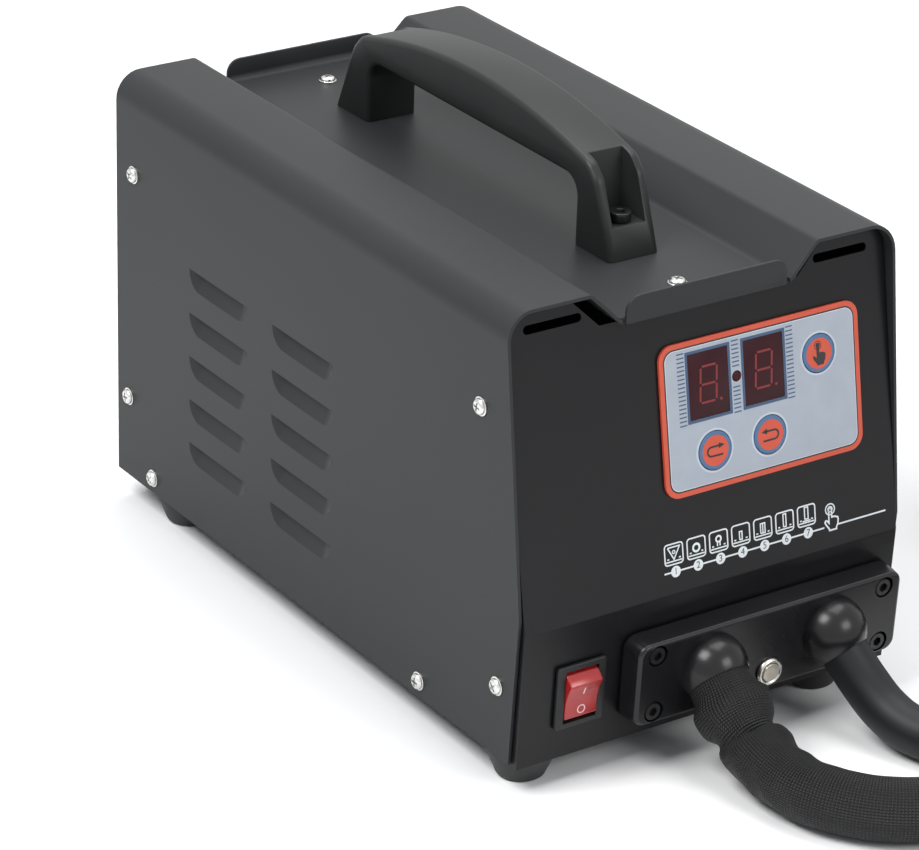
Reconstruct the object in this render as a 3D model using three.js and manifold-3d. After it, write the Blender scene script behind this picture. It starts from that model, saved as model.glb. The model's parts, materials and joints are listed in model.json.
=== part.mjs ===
import * as THREE from 'three';
import { mergeVertices } from 'three/addons/utils/BufferGeometryUtils.js';
import Module from 'manifold-3d';

const wasm = await Module();
wasm.setup();

// A dent pulling spot welder: a folded sheet case with a carry handle, a control panel,
// a rocker switch, and a gun lead and an earth lead that leave a moulded connector block.
// Millimetres, +Z up, the front faces -Y, and X runs to the right seen from the front.

// Case and cover
const caseWidth = 205;
const caseDepth = 341;
const caseHeight = 205;
const coverSheet = 1.5;
const shoulderRadius = 13;
const plateauGapHalf = 59.5;
const trayHalf = 44;
const trayDepth = 15;
const creaseRadius = 3;
const frontLeanTop = 17.5;
const frontLeanFoot = 4;
const coverKnee = 71;
const lipWidth = 85;
const lipHeight = 12.2;
const lipCorner = 7;

// Louvres, in two columns on each side
const louvreLength = 52;
const louvreHeight = 9.8;
const louvreDeep = 4.2;
const louvreSheet = 1.1;
const louvreRows = 5;
const louvrePitch = 22.3;
const louvreLowest = 41.7;
const louvreColumns = [76.5, 3];

// Fasteners
const screwHeadRadius = 4.3;
const screwHeadHeight = 2.3;
const screwRadius = 1.9;
const screwLength = 9;
const crossSlotLength = 5;
const crossSlotWidth = 1;
const crossSlotDepth = 1.3;
const rearScrewsIn = [[16.5, 159.5], [11, 42.5], [34, 8]];
const frontScrewsIn = [[73.5, 8], [14, 34], [33, 158]];
const trayScrewFrontIn = 37;
const trayScrewRearIn = 23.5;

// Fits between pieces
const fit = 0.3;
const runningFit = 0.5;
const overrun = 2;

// Panels and base
const panelSheet = 1.5;
const panelGap = 0.4;
const panelKneeProud = 2.2;
const panelKnee = 64;
const panelRecessTop = 6.5;
const panelFootBack = 2.7;
const panelDrop = 1.5;
const panelBend = 4;
const flangeDepth = 26;
const topFlangeHalf = 38;
const topFlangeDepth = 30;
const earInset = 8.5;
const rearEarInset = 1.5;
const earCorner = 11;
const rearRecess = 2;
const baseUpstand = 24;
const baseBend = 3;
const slotLength = 29.5;
const slotHeight = 4;
const slotFromSide = 26.5;
const slotRise = 132;

// Feet
const footHeight = 14;
const footTopRadius = 16;
const footChamfer = 2.2;
const footBottomRadius = 11;
const footSpigotRadius = 4.5;
const footSpigotHeight = 6;
const footHollowRadius = 5;
const footHollowDepth = 6;
const footLeftIn = 16.5;
const footRightIn = 28.5;
const footFrontIn = 17.7;
const footRearIn = 40.5;

// Carry handle
const handleCentre = 7.5;
const handleWidth = 27;
const handleLength = 220;
const handleLegBase = 27;
const handleGrip = 30.5;
const handleArchHeight = 53.4;
const handleArchRadius = 328;
const handleShoulderIn = 13;
const handleShoulderHeight = 34;
const handleEdge = 2.5;
const handleInnerCorner = 6;
const pocketWidth = 17;
const pocketDepth = 20;
const pocketFloor = 18;
const pocketTop = 45;
const boltHeadRadius = 5;
const boltHeadHeight = 4;
const boltRadius = 2.5;
const boltTail = 6;

// Control panel: the overlay, its digits, light and buttons
const overlayWidth = 107.5;
const overlayHeight = 68;
const overlayCentre = 29.3;
const overlayRise = 76.4;
const overlaySheet = 1.2;
const overlayCorner = 7;
const digitWidth = 21.8;
const digitHeight = 29.8;
const digitRise = 89.7;
const digitLeft = 1;
const digitRight = 30.7;
const digitBody = 7;
const lightRadius = 2.3;
const lightX = 16;
const keyRadius = 8.7;
const keyProud = 0.5;
const keyStemRadius = 3;
const keyTravel = 0.4;
const keyNames = ['next_key', 'back_key', 'select_key'];
const keyPlaces = [[2.3, 59.5], [32.1, 59.8], [60.6, 90.3]];
const boardWidth = 98;
const boardHeight = 60;
const boardSheet = 1.6;
const tactWidth = 6;
const tactHeight = 3.2;
const cutoutMargin = 5;

// Rocker switch
const switchFromSide = 32;
const switchDrop = 34.9;
const switchBezelWidth = 25.4;
const switchBezelHeight = 30.8;
const switchBezelProud = 2;
const switchBodyWidth = 21;
const switchBodyHeight = 27.4;
const switchBodyDepth = 17;
const rockerWidth = 16.6;
const rockerRadius = 12.5;
const rockerEnd = 3.6;
const rockerHollow = 1.6;
const rockerPivotDepth = 4;
const rockerBack = 4;
const rockerTilt = 10;
const pivotRadius = 1.6;

// Connector block with two cable hoods, and the push button between them
const blockFromSide = 5.5;
const blockFromSwitch = 8.8;
const blockHeight = 42;
const blockDrop = 34;
const blockDepth = 12.5;
const blockEdge = 2.4;
const blockCorner = 5;
const gunHoodRadius = 16;
const earthHoodRadius = 16;
const gunHoodIn = 41;
const earthHoodIn = 39;
const gunLeadRadius = 14;
const earthLeadRadius = 11;
const leadFit = 0.4;
const gunExitTilt = 40;
const earthExitTilt = 45;
const earthExitTurn = 16;
const blockScrewIn = 10.8;
const blockScrewUp = 13.9;
const capHeadRadius = 4.3;
const capHeadHeight = 4.2;
const capSocketRadius = 2.3;
const capSocketDepth = 2.2;
const capRadius = 2.4;
const capLength = 14;
const counterboreRadius = 5;
const counterboreDepth = 5;
const buttonDrop = 45.3;
const buttonFlangeRadius = 6.7;
const buttonFlangeProud = 1.6;
const buttonBarrelRadius = 5.8;
const buttonBarrelLength = 20;
const buttonCapRadius = 4.4;
const buttonCapProud = 0.5;
const buttonCapLength = 10;
const buttonTravel = 1.5;

// Transformer, its windings and bars, and the power module behind it
const coreLeg = 16;
const coreWindow = 20;
const coreWindowHeight = 94;
const coreStack = 72;
const coreY = -36;
const coreFromHood = 14;
const windingThick = 9;
const windingHeight = 50;
const secondaryHeight = 38;
const secondaryGap = 26;
const barWidth = 18;
const barThick = 4;
const moduleLength = 94;
const moduleWidth = 34;
const moduleHeight = 30;
const moduleTerminalRadius = 5;
const moduleTerminalHeight = 4;
const moduleTerminalPitch = 28;
const moduleY = 62;
const sinkLength = 110;
const sinkWidth = 62;
const sinkBase = 6;
const sinkFin = 16;
const sinkFins = 9;
const sinkFinSheet = 2.4;

// Fan on the rear panel
const fanSize = 92;
const fanDepth = 25;
const fanBore = 43;
const fanHubRadius = 17;
const fanStrut = 5;
const fanStrutDepth = 4;
const fanRise = 112;
const rotorRadius = 41;
const rotorHubRadius = 19;
const rotorDepth = 15;
const rotorWall = 2;
const rotorBlades = 7;
const rotorBladeSheet = 1.8;
const rotorBladeWidth = 15;
const rotorBladePitch = 35;
const grilleRows = 9;
const grillePitch = 9;
const grilleSlot = 4;

// Mains gland on the rear panel
const glandFromSide = 32.5;
const glandRise = 34;
const glandFlangeRadius = 11;
const glandProud = 12;
const glandNoseRadius = 8;
const glandShankRadius = 7.6;
const glandInside = 12;
const glandBore = 4.2;

// Spot gun on the end of the gun lead, lying on its side
const gunThick = 34;
const gunBarrelLength = 118;
const gunBarrelHeight = 40;
const gunGripLength = 88;
const gunGripWidth = 38;
const gunGripFromRear = 22;
const gunEdge = 3;
const gunNoseRadius = 12;
const gunNoseLength = 24;
const gunTipRadius = 3;
const gunTipLength = 22;
const gunNoseSeat = 8;
const gunNoseStep = 6;
const triggerLength = 30;
const triggerWidth = 9;
const triggerThick = 12;
const triggerAbove = 5;
const triggerBack = 4;
const triggerPocket = 12;
const triggerPinDrop = 11;
const triggerPinIn = 4;
const triggerPinRadius = 2;

// Earth lug on the end of the earth lead
const lugBarrelRadius = 10;
const lugBarrelLength = 30;
const lugPalmLength = 42;
const lugPalmWidth = 26;
const lugPalmThick = 5;
const lugHoleRadius = 5.5;

// Routes of the leads, chosen by hand, in the finished part's own frame
const gunLeadRoute = [
  [-8, -174.8, 42.9], [-8, -185.5, 33.9], [-8, -196.4, 25.6], [-8, -208.4, 19.3],
  [-7.6, -222, 15.6], [-5.9, -237, 14.1], [-2, -248.5, 14], [4.5, -259.5, 14],
  [14, -269.5, 14], [26, -277.3, 14], [40, -282.3, 14], [54.5, -284, 14], [80, -284, 14],
  [110, -284, 14], [150, -284, 14], [190, -284, 14], [230, -284, 14], [270, -284, 14],
  [298, -284, 14], [328, -284, 14],
];
const earthLeadRoute = [
  [58.2, -174.7, 42.8], [60.9, -184.2, 32.9], [63.3, -194.2, 24], [65.3, -204.5, 17.1],
  [67.8, -215.6, 13], [72.3, -227, 11.2], [79.5, -237.5, 11], [89.5, -246.3, 11.4],
  [101.5, -253, 11], [115, -256.5, 11], [130, -257.5, 11], [150, -257.5, 11],
  [171, -257.5, 11.5], [193, -257.5, 14], [216, -257.7, 18], [238, -260, 24.2],
  [262, -263, 30.4], [288, -266.5, 35.8], [312, -269.5, 38.2], [334, -270, 38.2],
];
const leadSides = 8;
const coilSides = 6;
const coilSteps = 24;
const coilClear = 2.6;
const gunCoilRadius = 155;
const gunCoilTurns = 0.92;
const gunTailRadius = 60;
const gunTailTurn = 105;
const earthCoilRadius = 141;
const earthCoilTurns = 0.75;
const earthTailRadius = 60;
const earthTailTurn = 15;

// Arc and turning counts
const arcSteps = 6;
const roundSteps = 16;
const finePins = 10;

// Heights and faces that the pieces share
const floorLevel = footHeight;
const coverTop = floorLevel + caseHeight;
const trayTop = coverTop - trayDepth;
const trayUnder = trayTop - coverSheet;
const wallInside = caseWidth / 2 - coverSheet;
const panelHalf = wallInside - panelGap;
const baseHalf = panelHalf - panelSheet - fit;
const frontEdge = -caseDepth / 2;
const rearEdge = caseDepth / 2;
const rearFace = rearEdge - rearRecess;
const baseTop = floorLevel + coverSheet;

// Places across the case that several pieces share, worked out from its sides
const switchX = -caseWidth / 2 + switchFromSide;
const blockLeft = switchX + switchBezelWidth / 2 + blockFromSwitch;
const blockRight = caseWidth / 2 - blockFromSide;
const blockWidth = blockRight - blockLeft;
const blockCentre = (blockLeft + blockRight) / 2;
const gunHoodX = blockLeft + gunHoodIn;
const earthHoodX = blockRight - earthHoodIn;
const buttonX = blockCentre;
const slotCentre = caseWidth / 2 - slotFromSide;
const coreX = gunHoodX + coreFromHood;
const glandX = -caseWidth / 2 + glandFromSide;

const degrees = THREE.MathUtils.degToRad;

function finish(colour, roughness, metalness) {
  return new THREE.MeshStandardMaterial({ color: colour, roughness, metalness });
}

const powderCoat = finish(0x4b4c4c, 0.62, 0.1);
const panelPaint = finish(0x202224, 0.5, 0.1);
const blackPlastic = finish(0x26282a, 0.42, 0);
const zinc = finish(0xa8a8a4, 0.35, 0.8);
const blackSteel = finish(0x1c1d1f, 0.4, 0.7);
const rubber = finish(0x1f2022, 0.75, 0);
const paleFilm = finish(0xa9b1bb, 0.45, 0);
const orangeFilm = finish(0xd6543a, 0.45, 0);
const darkRed = finish(0x3a1f25, 0.25, 0);
const clearRed = finish(0xb8201c, 0.2, 0);
const darkLens = finish(0x1a2330, 0.3, 0);
const boardGreen = finish(0x1f5a3a, 0.6, 0);
const stainless = finish(0xb9b5ab, 0.28, 0.9);
const ironCore = finish(0x55565a, 0.5, 0.7);
const enamel = finish(0x7a4a1c, 0.45, 0.3);
const copper = finish(0xb8713f, 0.35, 0.9);
const brass = finish(0xb89a4c, 0.35, 0.9);
const aluminium = finish(0xb4b6b8, 0.45, 0.8);
const leadRubber = finish(0x2a2c2e, 0.7, 0);
const sleeveCloth = finish(0x202122, 0.85, 0);

// Builds a closed solid from a three.js geometry.
function solid(geometry) {
  const bare = geometry.clone();
  bare.deleteAttribute('normal');
  bare.deleteAttribute('uv');
  const merged = mergeVertices(bare);
  const kept = [];
  for (let i = 0; i < merged.index.count; i += 3) {
    const [a, b, c] = [0, 1, 2].map((k) => merged.index.getX(i + k));
    if (a !== b && b !== c && c !== a) kept.push(a, b, c);
  }
  const vertProperties = new Float32Array(merged.attributes.position.array);
  const triVerts = new Uint32Array(kept);
  return new wasm.Manifold(new wasm.Mesh({ numProp: 3, vertProperties, triVerts }));
}

function joined(first, ...others) {
  return others.reduce((sum, other) => sum.add(other), first);
}

function cut(first, ...others) {
  return others.reduce((rest, other) => rest.subtract(other), first);
}

function named(name, shape, material, parent) {
  const mesh = shape.getMesh();
  const geometry = new THREE.BufferGeometry();
  geometry.setAttribute('position', new THREE.BufferAttribute(new Float32Array(mesh.vertProperties), 3));
  geometry.setIndex(new THREE.BufferAttribute(new Uint32Array(mesh.triVerts), 1));
  geometry.computeVertexNormals();
  const object = new THREE.Mesh(geometry, material);
  object.name = name;
  parent.add(object);
  return object;
}

// The frame whose X, Y and Z are the given directions.
function basis(x, y, z) {
  const axes = [x, y, z].map((axis) => new THREE.Vector3(...axis));
  return new THREE.Matrix4().makeBasis(...axes);
}

const alongX = basis([0, 1, 0], [0, 0, 1], [1, 0, 0]);
const alongY = basis([1, 0, 0], [0, 0, 1], [0, -1, 0]);

// Extrusions of an outline: across X from YZ points, along Y from XZ points, and up Z.
function acrossX(shape, from, to, options = {}) {
  const geometry = flat(shape, to - from, options);
  return solid(geometry.applyMatrix4(alongX).translate(from, 0, 0));
}

function alongDepth(shape, from, to, options = {}) {
  const geometry = flat(shape, to - from, options);
  return solid(geometry.applyMatrix4(alongY).translate(0, to, 0));
}

function upright(shape, from, to, options = {}) {
  return solid(flat(shape, to - from, options).translate(0, 0, from));
}

function flat(shape, depth, options) {
  const plain = { depth, bevelEnabled: false, curveSegments: arcSteps / 2 };
  return new THREE.ExtrudeGeometry(shape, { ...plain, ...options });
}

function polygon(points) {
  return new THREE.Shape(points.map(([x, y]) => new THREE.Vector2(x, y)));
}

// A rectangle with round corners about a centre.
function roundedRectangle(width, height, radius, x = 0, y = 0) {
  const [w, h] = [width / 2, height / 2];
  const shape = new THREE.Shape();
  const corners = [[w, h, 0], [-w, h, 1], [-w, -h, 2], [w, -h, 3]];
  for (const [cx, cy, quarter] of corners) {
    const [ax, ay] = [cx - Math.sign(cx) * radius, cy - Math.sign(cy) * radius];
    shape.absarc(x + ax, y + ay, radius, quarter * Math.PI / 2, (quarter + 1) * Math.PI / 2);
  }
  return shape;
}

// A closed outline from corners [x, y, radius], each rounded by its radius.
function roundedOutline(corners) {
  const points = [];
  corners.forEach(([x, y, radius], i) => {
    const at = new THREE.Vector2(x, y);
    const last = new THREE.Vector2(...corners.at(i - 1).slice(0, 2));
    const next = new THREE.Vector2(...corners[(i + 1) % corners.length].slice(0, 2));
    if (radius) points.push(...roundedCorner(last, at, next, radius));
    else points.push([x, y]);
  });
  return polygon(points);
}

function roundedCorner(last, at, next, radius) {
  const back = last.clone().sub(at).normalize();
  const on = next.clone().sub(at).normalize();
  const half = Math.acos(THREE.MathUtils.clamp(back.dot(on), -1, 1)) / 2;
  const reach = Math.min(radius / Math.tan(half), at.distanceTo(last) / 2, at.distanceTo(next) / 2);
  const from = at.clone().addScaledVector(back, reach);
  const to = at.clone().addScaledVector(on, reach);
  const centre = at.clone().add(back.clone().add(on).normalize().multiplyScalar(reach / Math.cos(half)));
  const start = from.clone().sub(centre).angle();
  let turn = to.clone().sub(centre).angle() - start;
  if (turn > Math.PI) turn -= 2 * Math.PI;
  if (turn < -Math.PI) turn += 2 * Math.PI;
  const size = from.distanceTo(centre);
  return Array.from({ length: arcSteps + 1 }, (_, k) => {
    const angle = start + turn * k / arcSteps;
    return [centre.x + size * Math.cos(angle), centre.y + size * Math.sin(angle)];
  });
}

// The outline of a folded sheet: its outer face follows the corners, and the sheet lies to their right.
function foldedSheet(corners, thickness) {
  const path = corners.map(([x, y]) => new THREE.Vector2(x, y));
  const outer = [];
  const inner = [];
  const right = (a, b) => b.clone().sub(a).normalize().rotateAround(new THREE.Vector2(), -Math.PI / 2);
  path.forEach((at, i) => {
    const [last, next] = [path[i - 1], path[i + 1]];
    if (!last || !next) {
      const side = right(last ?? at, next ?? at).multiplyScalar(thickness);
      outer.push(at);
      inner.push(at.clone().add(side));
      return;
    }
    const [a, b] = [right(last, at), right(at, next)];
    const turn = Math.atan2(a.x * b.y - a.y * b.x, a.dot(b));
    const inward = turn < 0 ? 1 : -1;
    const radius = corners[i][2];
    const half = Math.abs(turn) / 2;
    const middle = a.clone().add(b).normalize().multiplyScalar(inward * radius / Math.cos(half));
    const centre = at.clone().add(middle);
    for (let k = 0; k <= arcSteps; k += 1) {
      const out = a.clone().rotateAround(new THREE.Vector2(), turn * k / arcSteps);
      outer.push(centre.clone().addScaledVector(out, -inward * radius));
      inner.push(centre.clone().addScaledVector(out, thickness - inward * radius));
    }
  });
  return polygon([...outer, ...inner.reverse()].map((p) => [p.x, p.y]));
}

// A round solid about the Z axis from a profile of [radius, height] points.
function turned(profile, segments = roundSteps) {
  return solid(new THREE.LatheGeometry(profile.map(([r, z]) => new THREE.Vector2(r, z)), segments)
    .rotateX(Math.PI / 2));
}

function rod(radius, from, to, segments = roundSteps) {
  return solid(new THREE.CylinderGeometry(radius, radius, to - from, segments)
    .rotateX(Math.PI / 2).translate(0, 0, (from + to) / 2));
}

function block(x0, x1, y0, y1, z0, z1) {
  return solid(new THREE.BoxGeometry(x1 - x0, y1 - y0, z1 - z0)
    .translate((x0 + x1) / 2, (y0 + y1) / 2, (z0 + z1) / 2));
}

function moved(shape, matrix) {
  return shape.transform(matrix.elements);
}

function at(x, y, z) {
  return new THREE.Matrix4().makeTranslation(x, y, z);
}

function turnedTo(direction) {
  const quaternion = new THREE.Quaternion();
  quaternion.setFromUnitVectors(new THREE.Vector3(0, 0, 1), direction.clone().normalize());
  return new THREE.Matrix4().makeRotationFromQuaternion(quaternion);
}

// How far forward the cover's edge reaches at a height, and the panel's outer face.
function coverEdgeAt(z) {
  const knee = floorLevel + coverKnee;
  return z > knee
    ? frontEdge + frontLeanTop * (z - knee) / (coverTop - knee)
    : frontEdge + frontLeanFoot * (knee - z) / coverKnee;
}

const kneeY = frontEdge - panelKneeProud;
const kneeZ = floorLevel + panelKnee;
const panelTopY = coverEdgeAt(coverTop) + panelRecessTop;
const panelFootY = kneeY + panelFootBack;
const panelFootZ = floorLevel - panelDrop;
const upperTilt = Math.atan2(panelTopY - kneeY, coverTop - kneeZ);
const lowerTilt = Math.atan2(panelFootBack, kneeZ - panelFootZ);

function panelFrame(tilt) {
  return new THREE.Matrix4().makeRotationX(Math.PI / 2 - tilt).setPosition(0, kneeY, kneeZ);
}

// On these frames X runs across the panel, Y up it and Z out of it, from the middle of the knee.
const upperFrame = panelFrame(upperTilt);
const lowerFrame = panelFrame(-lowerTilt);

const machine = new THREE.Group();
const upperPanel = new THREE.Group();
const lowerPanel = new THREE.Group();
upperPanel.applyMatrix4(upperFrame);
lowerPanel.applyMatrix4(lowerFrame);
machine.add(upperPanel, lowerPanel);

// Cover

function coverOutline() {
  const half = caseWidth / 2;
  const left = [
    [-half, floorLevel, 0], [-half, coverTop, shoulderRadius],
    [-plateauGapHalf, coverTop, creaseRadius], [-trayHalf, trayTop, creaseRadius],
  ];
  const right = left.map(([x, z, r]) => [-x, z, r]).reverse();
  return foldedSheet([...left, ...right], coverSheet);
}

function coverSides() {
  const top = coverTop + overrun;
  return acrossX(polygon([
    [coverEdgeAt(top), top], [frontEdge, floorLevel + coverKnee],
    [coverEdgeAt(floorLevel - overrun), floorLevel - overrun],
    [rearEdge, floorLevel - overrun], [rearEdge, top],
  ]), -caseWidth / 2 - overrun, caseWidth / 2 + overrun);
}

function lip(front, back) {
  const half = lipWidth / 2;
  const outline = roundedOutline([
    [-half, trayUnder, 0], [half, trayUnder, 0],
    [half, trayUnder + lipHeight, lipCorner], [-half, trayUnder + lipHeight, lipCorner],
  ]);
  return alongDepth(outline, front, back);
}

// A louvre is pressed inwards below a straight cut, which leaves its upper side open.
function louvreShape(side, y, z, grow) {
  const radius = louvreHeight + grow;
  const geometry = new THREE.CapsuleGeometry(radius, louvreLength - 2 * louvreHeight, 2, 8, 1);
  geometry.scale((louvreDeep + grow) / radius, 1, 1);
  const x = side * caseWidth / 2;
  return solid(geometry.translate(x, y, z));
}

function louvrePlaces() {
  const places = [];
  for (const side of [-1, 1]) {
    for (const y of louvreColumns) {
      for (let row = 0; row < louvreRows; row += 1) {
        places.push([side, y, floorLevel + louvreLowest + row * louvrePitch]);
      }
    }
  }
  return places;
}

function belowLouvre(side, y, z, outward) {
  const half = louvreLength / 2 + louvreSheet + overrun;
  const out = side * (caseWidth / 2 + outward);
  const inner = side * (caseWidth / 2 - louvreDeep - louvreSheet - overrun);
  const low = z - louvreHeight - louvreSheet - overrun;
  return block(Math.min(out, inner), Math.max(out, inner), y - half, y + half, low, z);
}

function makeCover() {
  let cover = alongDepth(coverOutline(), frontEdge - overrun, rearEdge + overrun).intersect(coverSides());
  const frontLip = coverEdgeAt(trayUnder);
  cover = joined(cover, lip(frontLip, frontLip + coverSheet), lip(rearEdge - coverSheet, rearEdge));
  for (const [side, y, z] of louvrePlaces()) {
    const pan = louvreShape(side, y, z, louvreSheet).intersect(belowLouvre(side, y, z, 0));
    const hollow = louvreShape(side, y, z, 0).intersect(belowLouvre(side, y, z, overrun));
    cover = cover.add(pan).subtract(hollow);
  }
  return cut(cover, ...fastenerHoles());
}

// Round holes for every screw that passes the cover and what it fastens.
function fastenerHoles() {
  const holes = [];
  const radius = screwRadius + fit;
  const sideReach = screwLength + coverSheet + overrun;
  for (const side of [-1, 1]) {
    for (const [y, z] of sideScrews()) {
      const hole = rod(radius, -sideReach, overrun, finePins);
      holes.push(moved(hole, sideMatrix(side, y, floorLevel + z)));
    }
  }
  for (const [, y] of trayScrews()) {
    holes.push(moved(rod(radius, -screwLength - overrun, overrun, finePins), at(0, y, trayTop)));
  }
  for (const y of boltPlaces()) {
    holes.push(moved(rod(boltRadius + fit, -boltTail - overrun, overrun, finePins), at(0, y, trayTop)));
  }
  return holes;
}

function sideScrews() {
  return [
    ...rearScrewsIn.map(([inward, z]) => [rearEdge - inward, z]),
    ...frontScrewsIn.map(([inward, z]) => [frontEdge + inward, z]),
  ];
}

function trayScrews() {
  return [['front', frontEdge + trayScrewFrontIn], ['rear', rearEdge - trayScrewRearIn]];
}

function sideMatrix(side, y, z) {
  const turn = new THREE.Matrix4().makeRotationY(side * Math.PI / 2);
  return turn.setPosition(side * caseWidth / 2, y, z);
}

function boltPlaces() {
  const fromEnd = pocketDepth / 2 + overrun;
  return [-1, 1].map((end) => handleCentre + end * (handleLength / 2 - fromEnd));
}

function panScrew() {
  const top = fit + screwHeadHeight;
  const slot = (x, y) => block(-x / 2, x / 2, -y / 2, y / 2, top - crossSlotDepth, top + overrun);
  const blank = turned([
    [0, -screwLength], [screwRadius, -screwLength], [screwRadius, fit], [screwHeadRadius, fit],
    [screwHeadRadius, fit + screwHeadHeight / 2], [screwHeadRadius * 2 / 3, top], [0, top],
  ], finePins);
  return cut(blank, slot(crossSlotLength, crossSlotWidth), slot(crossSlotWidth, crossSlotLength));
}

function makeCoverScrews() {
  for (const [side, word] of [[-1, 'left'], [1, 'right']]) {
    sideScrews().forEach(([y, z], i) => {
      const screw = named(`cover_screw_${word}_${i + 1}`, panScrew(), zinc, machine);
      screw.applyMatrix4(sideMatrix(side, y, floorLevel + z));
    });
  }
  for (const [word, y] of trayScrews()) {
    named(`tray_screw_${word}`, panScrew(), zinc, machine).position.set(0, y, trayTop);
  }
}

// Panels and base

// The space inside the cover, seen from the front, that a panel fills.
function panelOutline(inset) {
  const [top, under] = [coverTop - coverSheet - panelGap, trayUnder - panelGap];
  const left = [
    [-panelHalf, panelFootZ, 0], [-panelHalf, top, earCorner],
    [-plateauGapHalf - inset, top, 0], [-trayHalf - inset, under, 0],
  ];
  const right = left.map(([x, z, r]) => [-x, z, r]).reverse();
  return roundedOutline([...left, ...right].reverse());
}

function frontFaceLine() {
  const topSlope = Math.tan(upperTilt);
  const topZ = coverTop + overrun;
  const topY = kneeY + (topZ - kneeZ) * topSlope;
  return [[topY, topZ, 0], [kneeY, kneeZ, panelBend], [panelFootY, panelFootZ, 0]];
}

function frontFlanges() {
  const [top, knee, foot] = frontFaceLine();
  const side = polygon([
    [top[0], top[1]], [knee[0] + overrun, knee[1]], [foot[0], floorLevel],
    [foot[0] + flangeDepth, floorLevel],
    [knee[0] + flangeDepth, knee[1]], [top[0] + flangeDepth, top[1]],
  ].reverse());
  return [[-panelHalf, -panelHalf + panelSheet], [panelHalf - panelSheet, panelHalf]]
    .map(([from, to]) => acrossX(side, from, to));
}

function topFlange(from, to) {
  const top = trayUnder - panelGap;
  return block(-topFlangeHalf, topFlangeHalf, from, to, top - panelSheet, top);
}

function slotHole(x) {
  const slot = upright(roundedRectangle(slotLength, slotHeight, slotHeight / 2), -flangeDepth / 2, overrun);
  return moved(slot, upperFrame.clone().multiply(at(x, slotRise, 0)));
}

function lowerHole(x, drop, radius) {
  return moved(rod(radius, -flangeDepth, overrun), lowerFrame.clone().multiply(at(x, -drop, 0)));
}

function makeFrontPanel() {
  const face = acrossX(foldedSheet(frontFaceLine().reverse(), panelSheet), -panelHalf, panelHalf);
  const topY = kneeY + (trayUnder - kneeZ) * Math.tan(upperTilt);
  const flangeFrom = topY + panelSheet / 2;
  const whole = joined(face, ...frontFlanges(), topFlange(flangeFrom, flangeFrom + topFlangeDepth));
  const depth = alongDepth(panelOutline(earInset), kneeY - overrun, kneeY + caseDepth / 2);
  const window = upright(
    roundedRectangle(overlayWidth - 2 * cutoutMargin, overlayHeight - 2 * cutoutMargin, overlayCorner),
    -flangeDepth / 2, overrun,
  );
  const switchHole = upright(
    roundedRectangle(switchBodyWidth + 2 * fit, switchBodyHeight + 2 * fit, creaseRadius / 2),
    -flangeDepth / 2, overrun,
  );
  return cut(
    whole.intersect(depth),
    moved(window, upperFrame.clone().multiply(at(overlayCentre, overlayRise, 0))),
    moved(switchHole, lowerFrame.clone().multiply(at(switchX, -switchDrop, 0))),
    slotHole(-slotCentre), slotHole(slotCentre),
    lowerHole(gunHoodX, blockDrop, barWidth / 2 + 2 * barThick),
    lowerHole(earthHoodX, blockDrop, barWidth / 2 + 2 * barThick),
    lowerHole(buttonX, buttonDrop, buttonBarrelRadius + runningFit),
    ...blockScrewPlaces().map(([x, y]) => lowerHole(x, -y, capRadius + runningFit)),
    ...fastenerHoles(),
  );
}

function grille() {
  return Array.from({ length: grilleRows }, (_, row) => {
    const up = (row - (grilleRows - 1) / 2) * grillePitch;
    const width = 2 * Math.sqrt(fanBore ** 2 - up ** 2);
    const slot = roundedRectangle(width, grilleSlot, grilleSlot / 2, 0, floorLevel + fanRise + up);
    return alongDepth(slot, rearFace - fanDepth / 2, rearFace + overrun);
  });
}

function makeRearPanel() {
  const face = alongDepth(panelOutline(rearEarInset), rearFace - panelSheet, rearFace);
  const [front, back] = [rearFace - flangeDepth, rearFace];
  const sides = [[-panelHalf, -panelHalf + panelSheet], [panelHalf - panelSheet, panelHalf]]
    .map(([from, to]) => block(from, to, front, back, floorLevel, coverTop));
  const whole = joined(face, ...sides, topFlange(back - topFlangeDepth - panelSheet, back - panelSheet / 2));
  const keep = alongDepth(panelOutline(rearEarInset), front - topFlangeDepth, back + overrun);
  const gland = moved(rod(glandShankRadius + fit, -fanDepth, overrun), rearMatrix(glandX, glandRise));
  return cut(whole.intersect(keep), ...grille(), gland, ...fastenerHoles());
}

// A frame on the rear panel's outer face: Z points out of it.
function rearMatrix(x, rise) {
  const matrix = basis([-1, 0, 0], [0, 0, 1], [0, 1, 0]);
  return matrix.setPosition(x, rearFace, floorLevel + rise);
}

function makeBase() {
  const up = baseTop + baseUpstand;
  const sheet = foldedSheet([
    [baseHalf, up, 0], [baseHalf, floorLevel, baseBend], [-baseHalf, floorLevel, baseBend],
    [-baseHalf, up, 0],
  ], coverSheet);
  const front = panelFootY + panelSheet + fit;
  const back = rearFace - panelSheet - fit;
  const hole = rod(footSpigotRadius + fit, -overrun, baseUpstand / 2);
  const holes = footPlaces().map(([, x, y]) => moved(hole, at(x, y, floorLevel)));
  return cut(alongDepth(sheet, front, back), ...holes, ...fastenerHoles());
}

function footPlaces() {
  const [left, right] = [-caseWidth / 2 + footLeftIn, caseWidth / 2 - footRightIn];
  const [front, rear] = [frontEdge + footFrontIn, rearEdge - footRearIn];
  return [
    ['foot_front_left', left, front], ['foot_front_right', right, front],
    ['foot_rear_left', left, rear], ['foot_rear_right', right, rear],
  ];
}

function makeFoot() {
  const top = footHeight - fit;
  return turned([
    [0, footHollowDepth], [footHollowRadius, footHollowDepth], [footHollowRadius, 0],
    [footBottomRadius - fit, 0],
    [footBottomRadius, fit], [footTopRadius, footHeight - footChamfer], [footTopRadius - footChamfer, top],
    [footSpigotRadius, top],
    [footSpigotRadius, top + footSpigotHeight], [0, top + footSpigotHeight],
  ]);
}

// Carry handle

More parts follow.
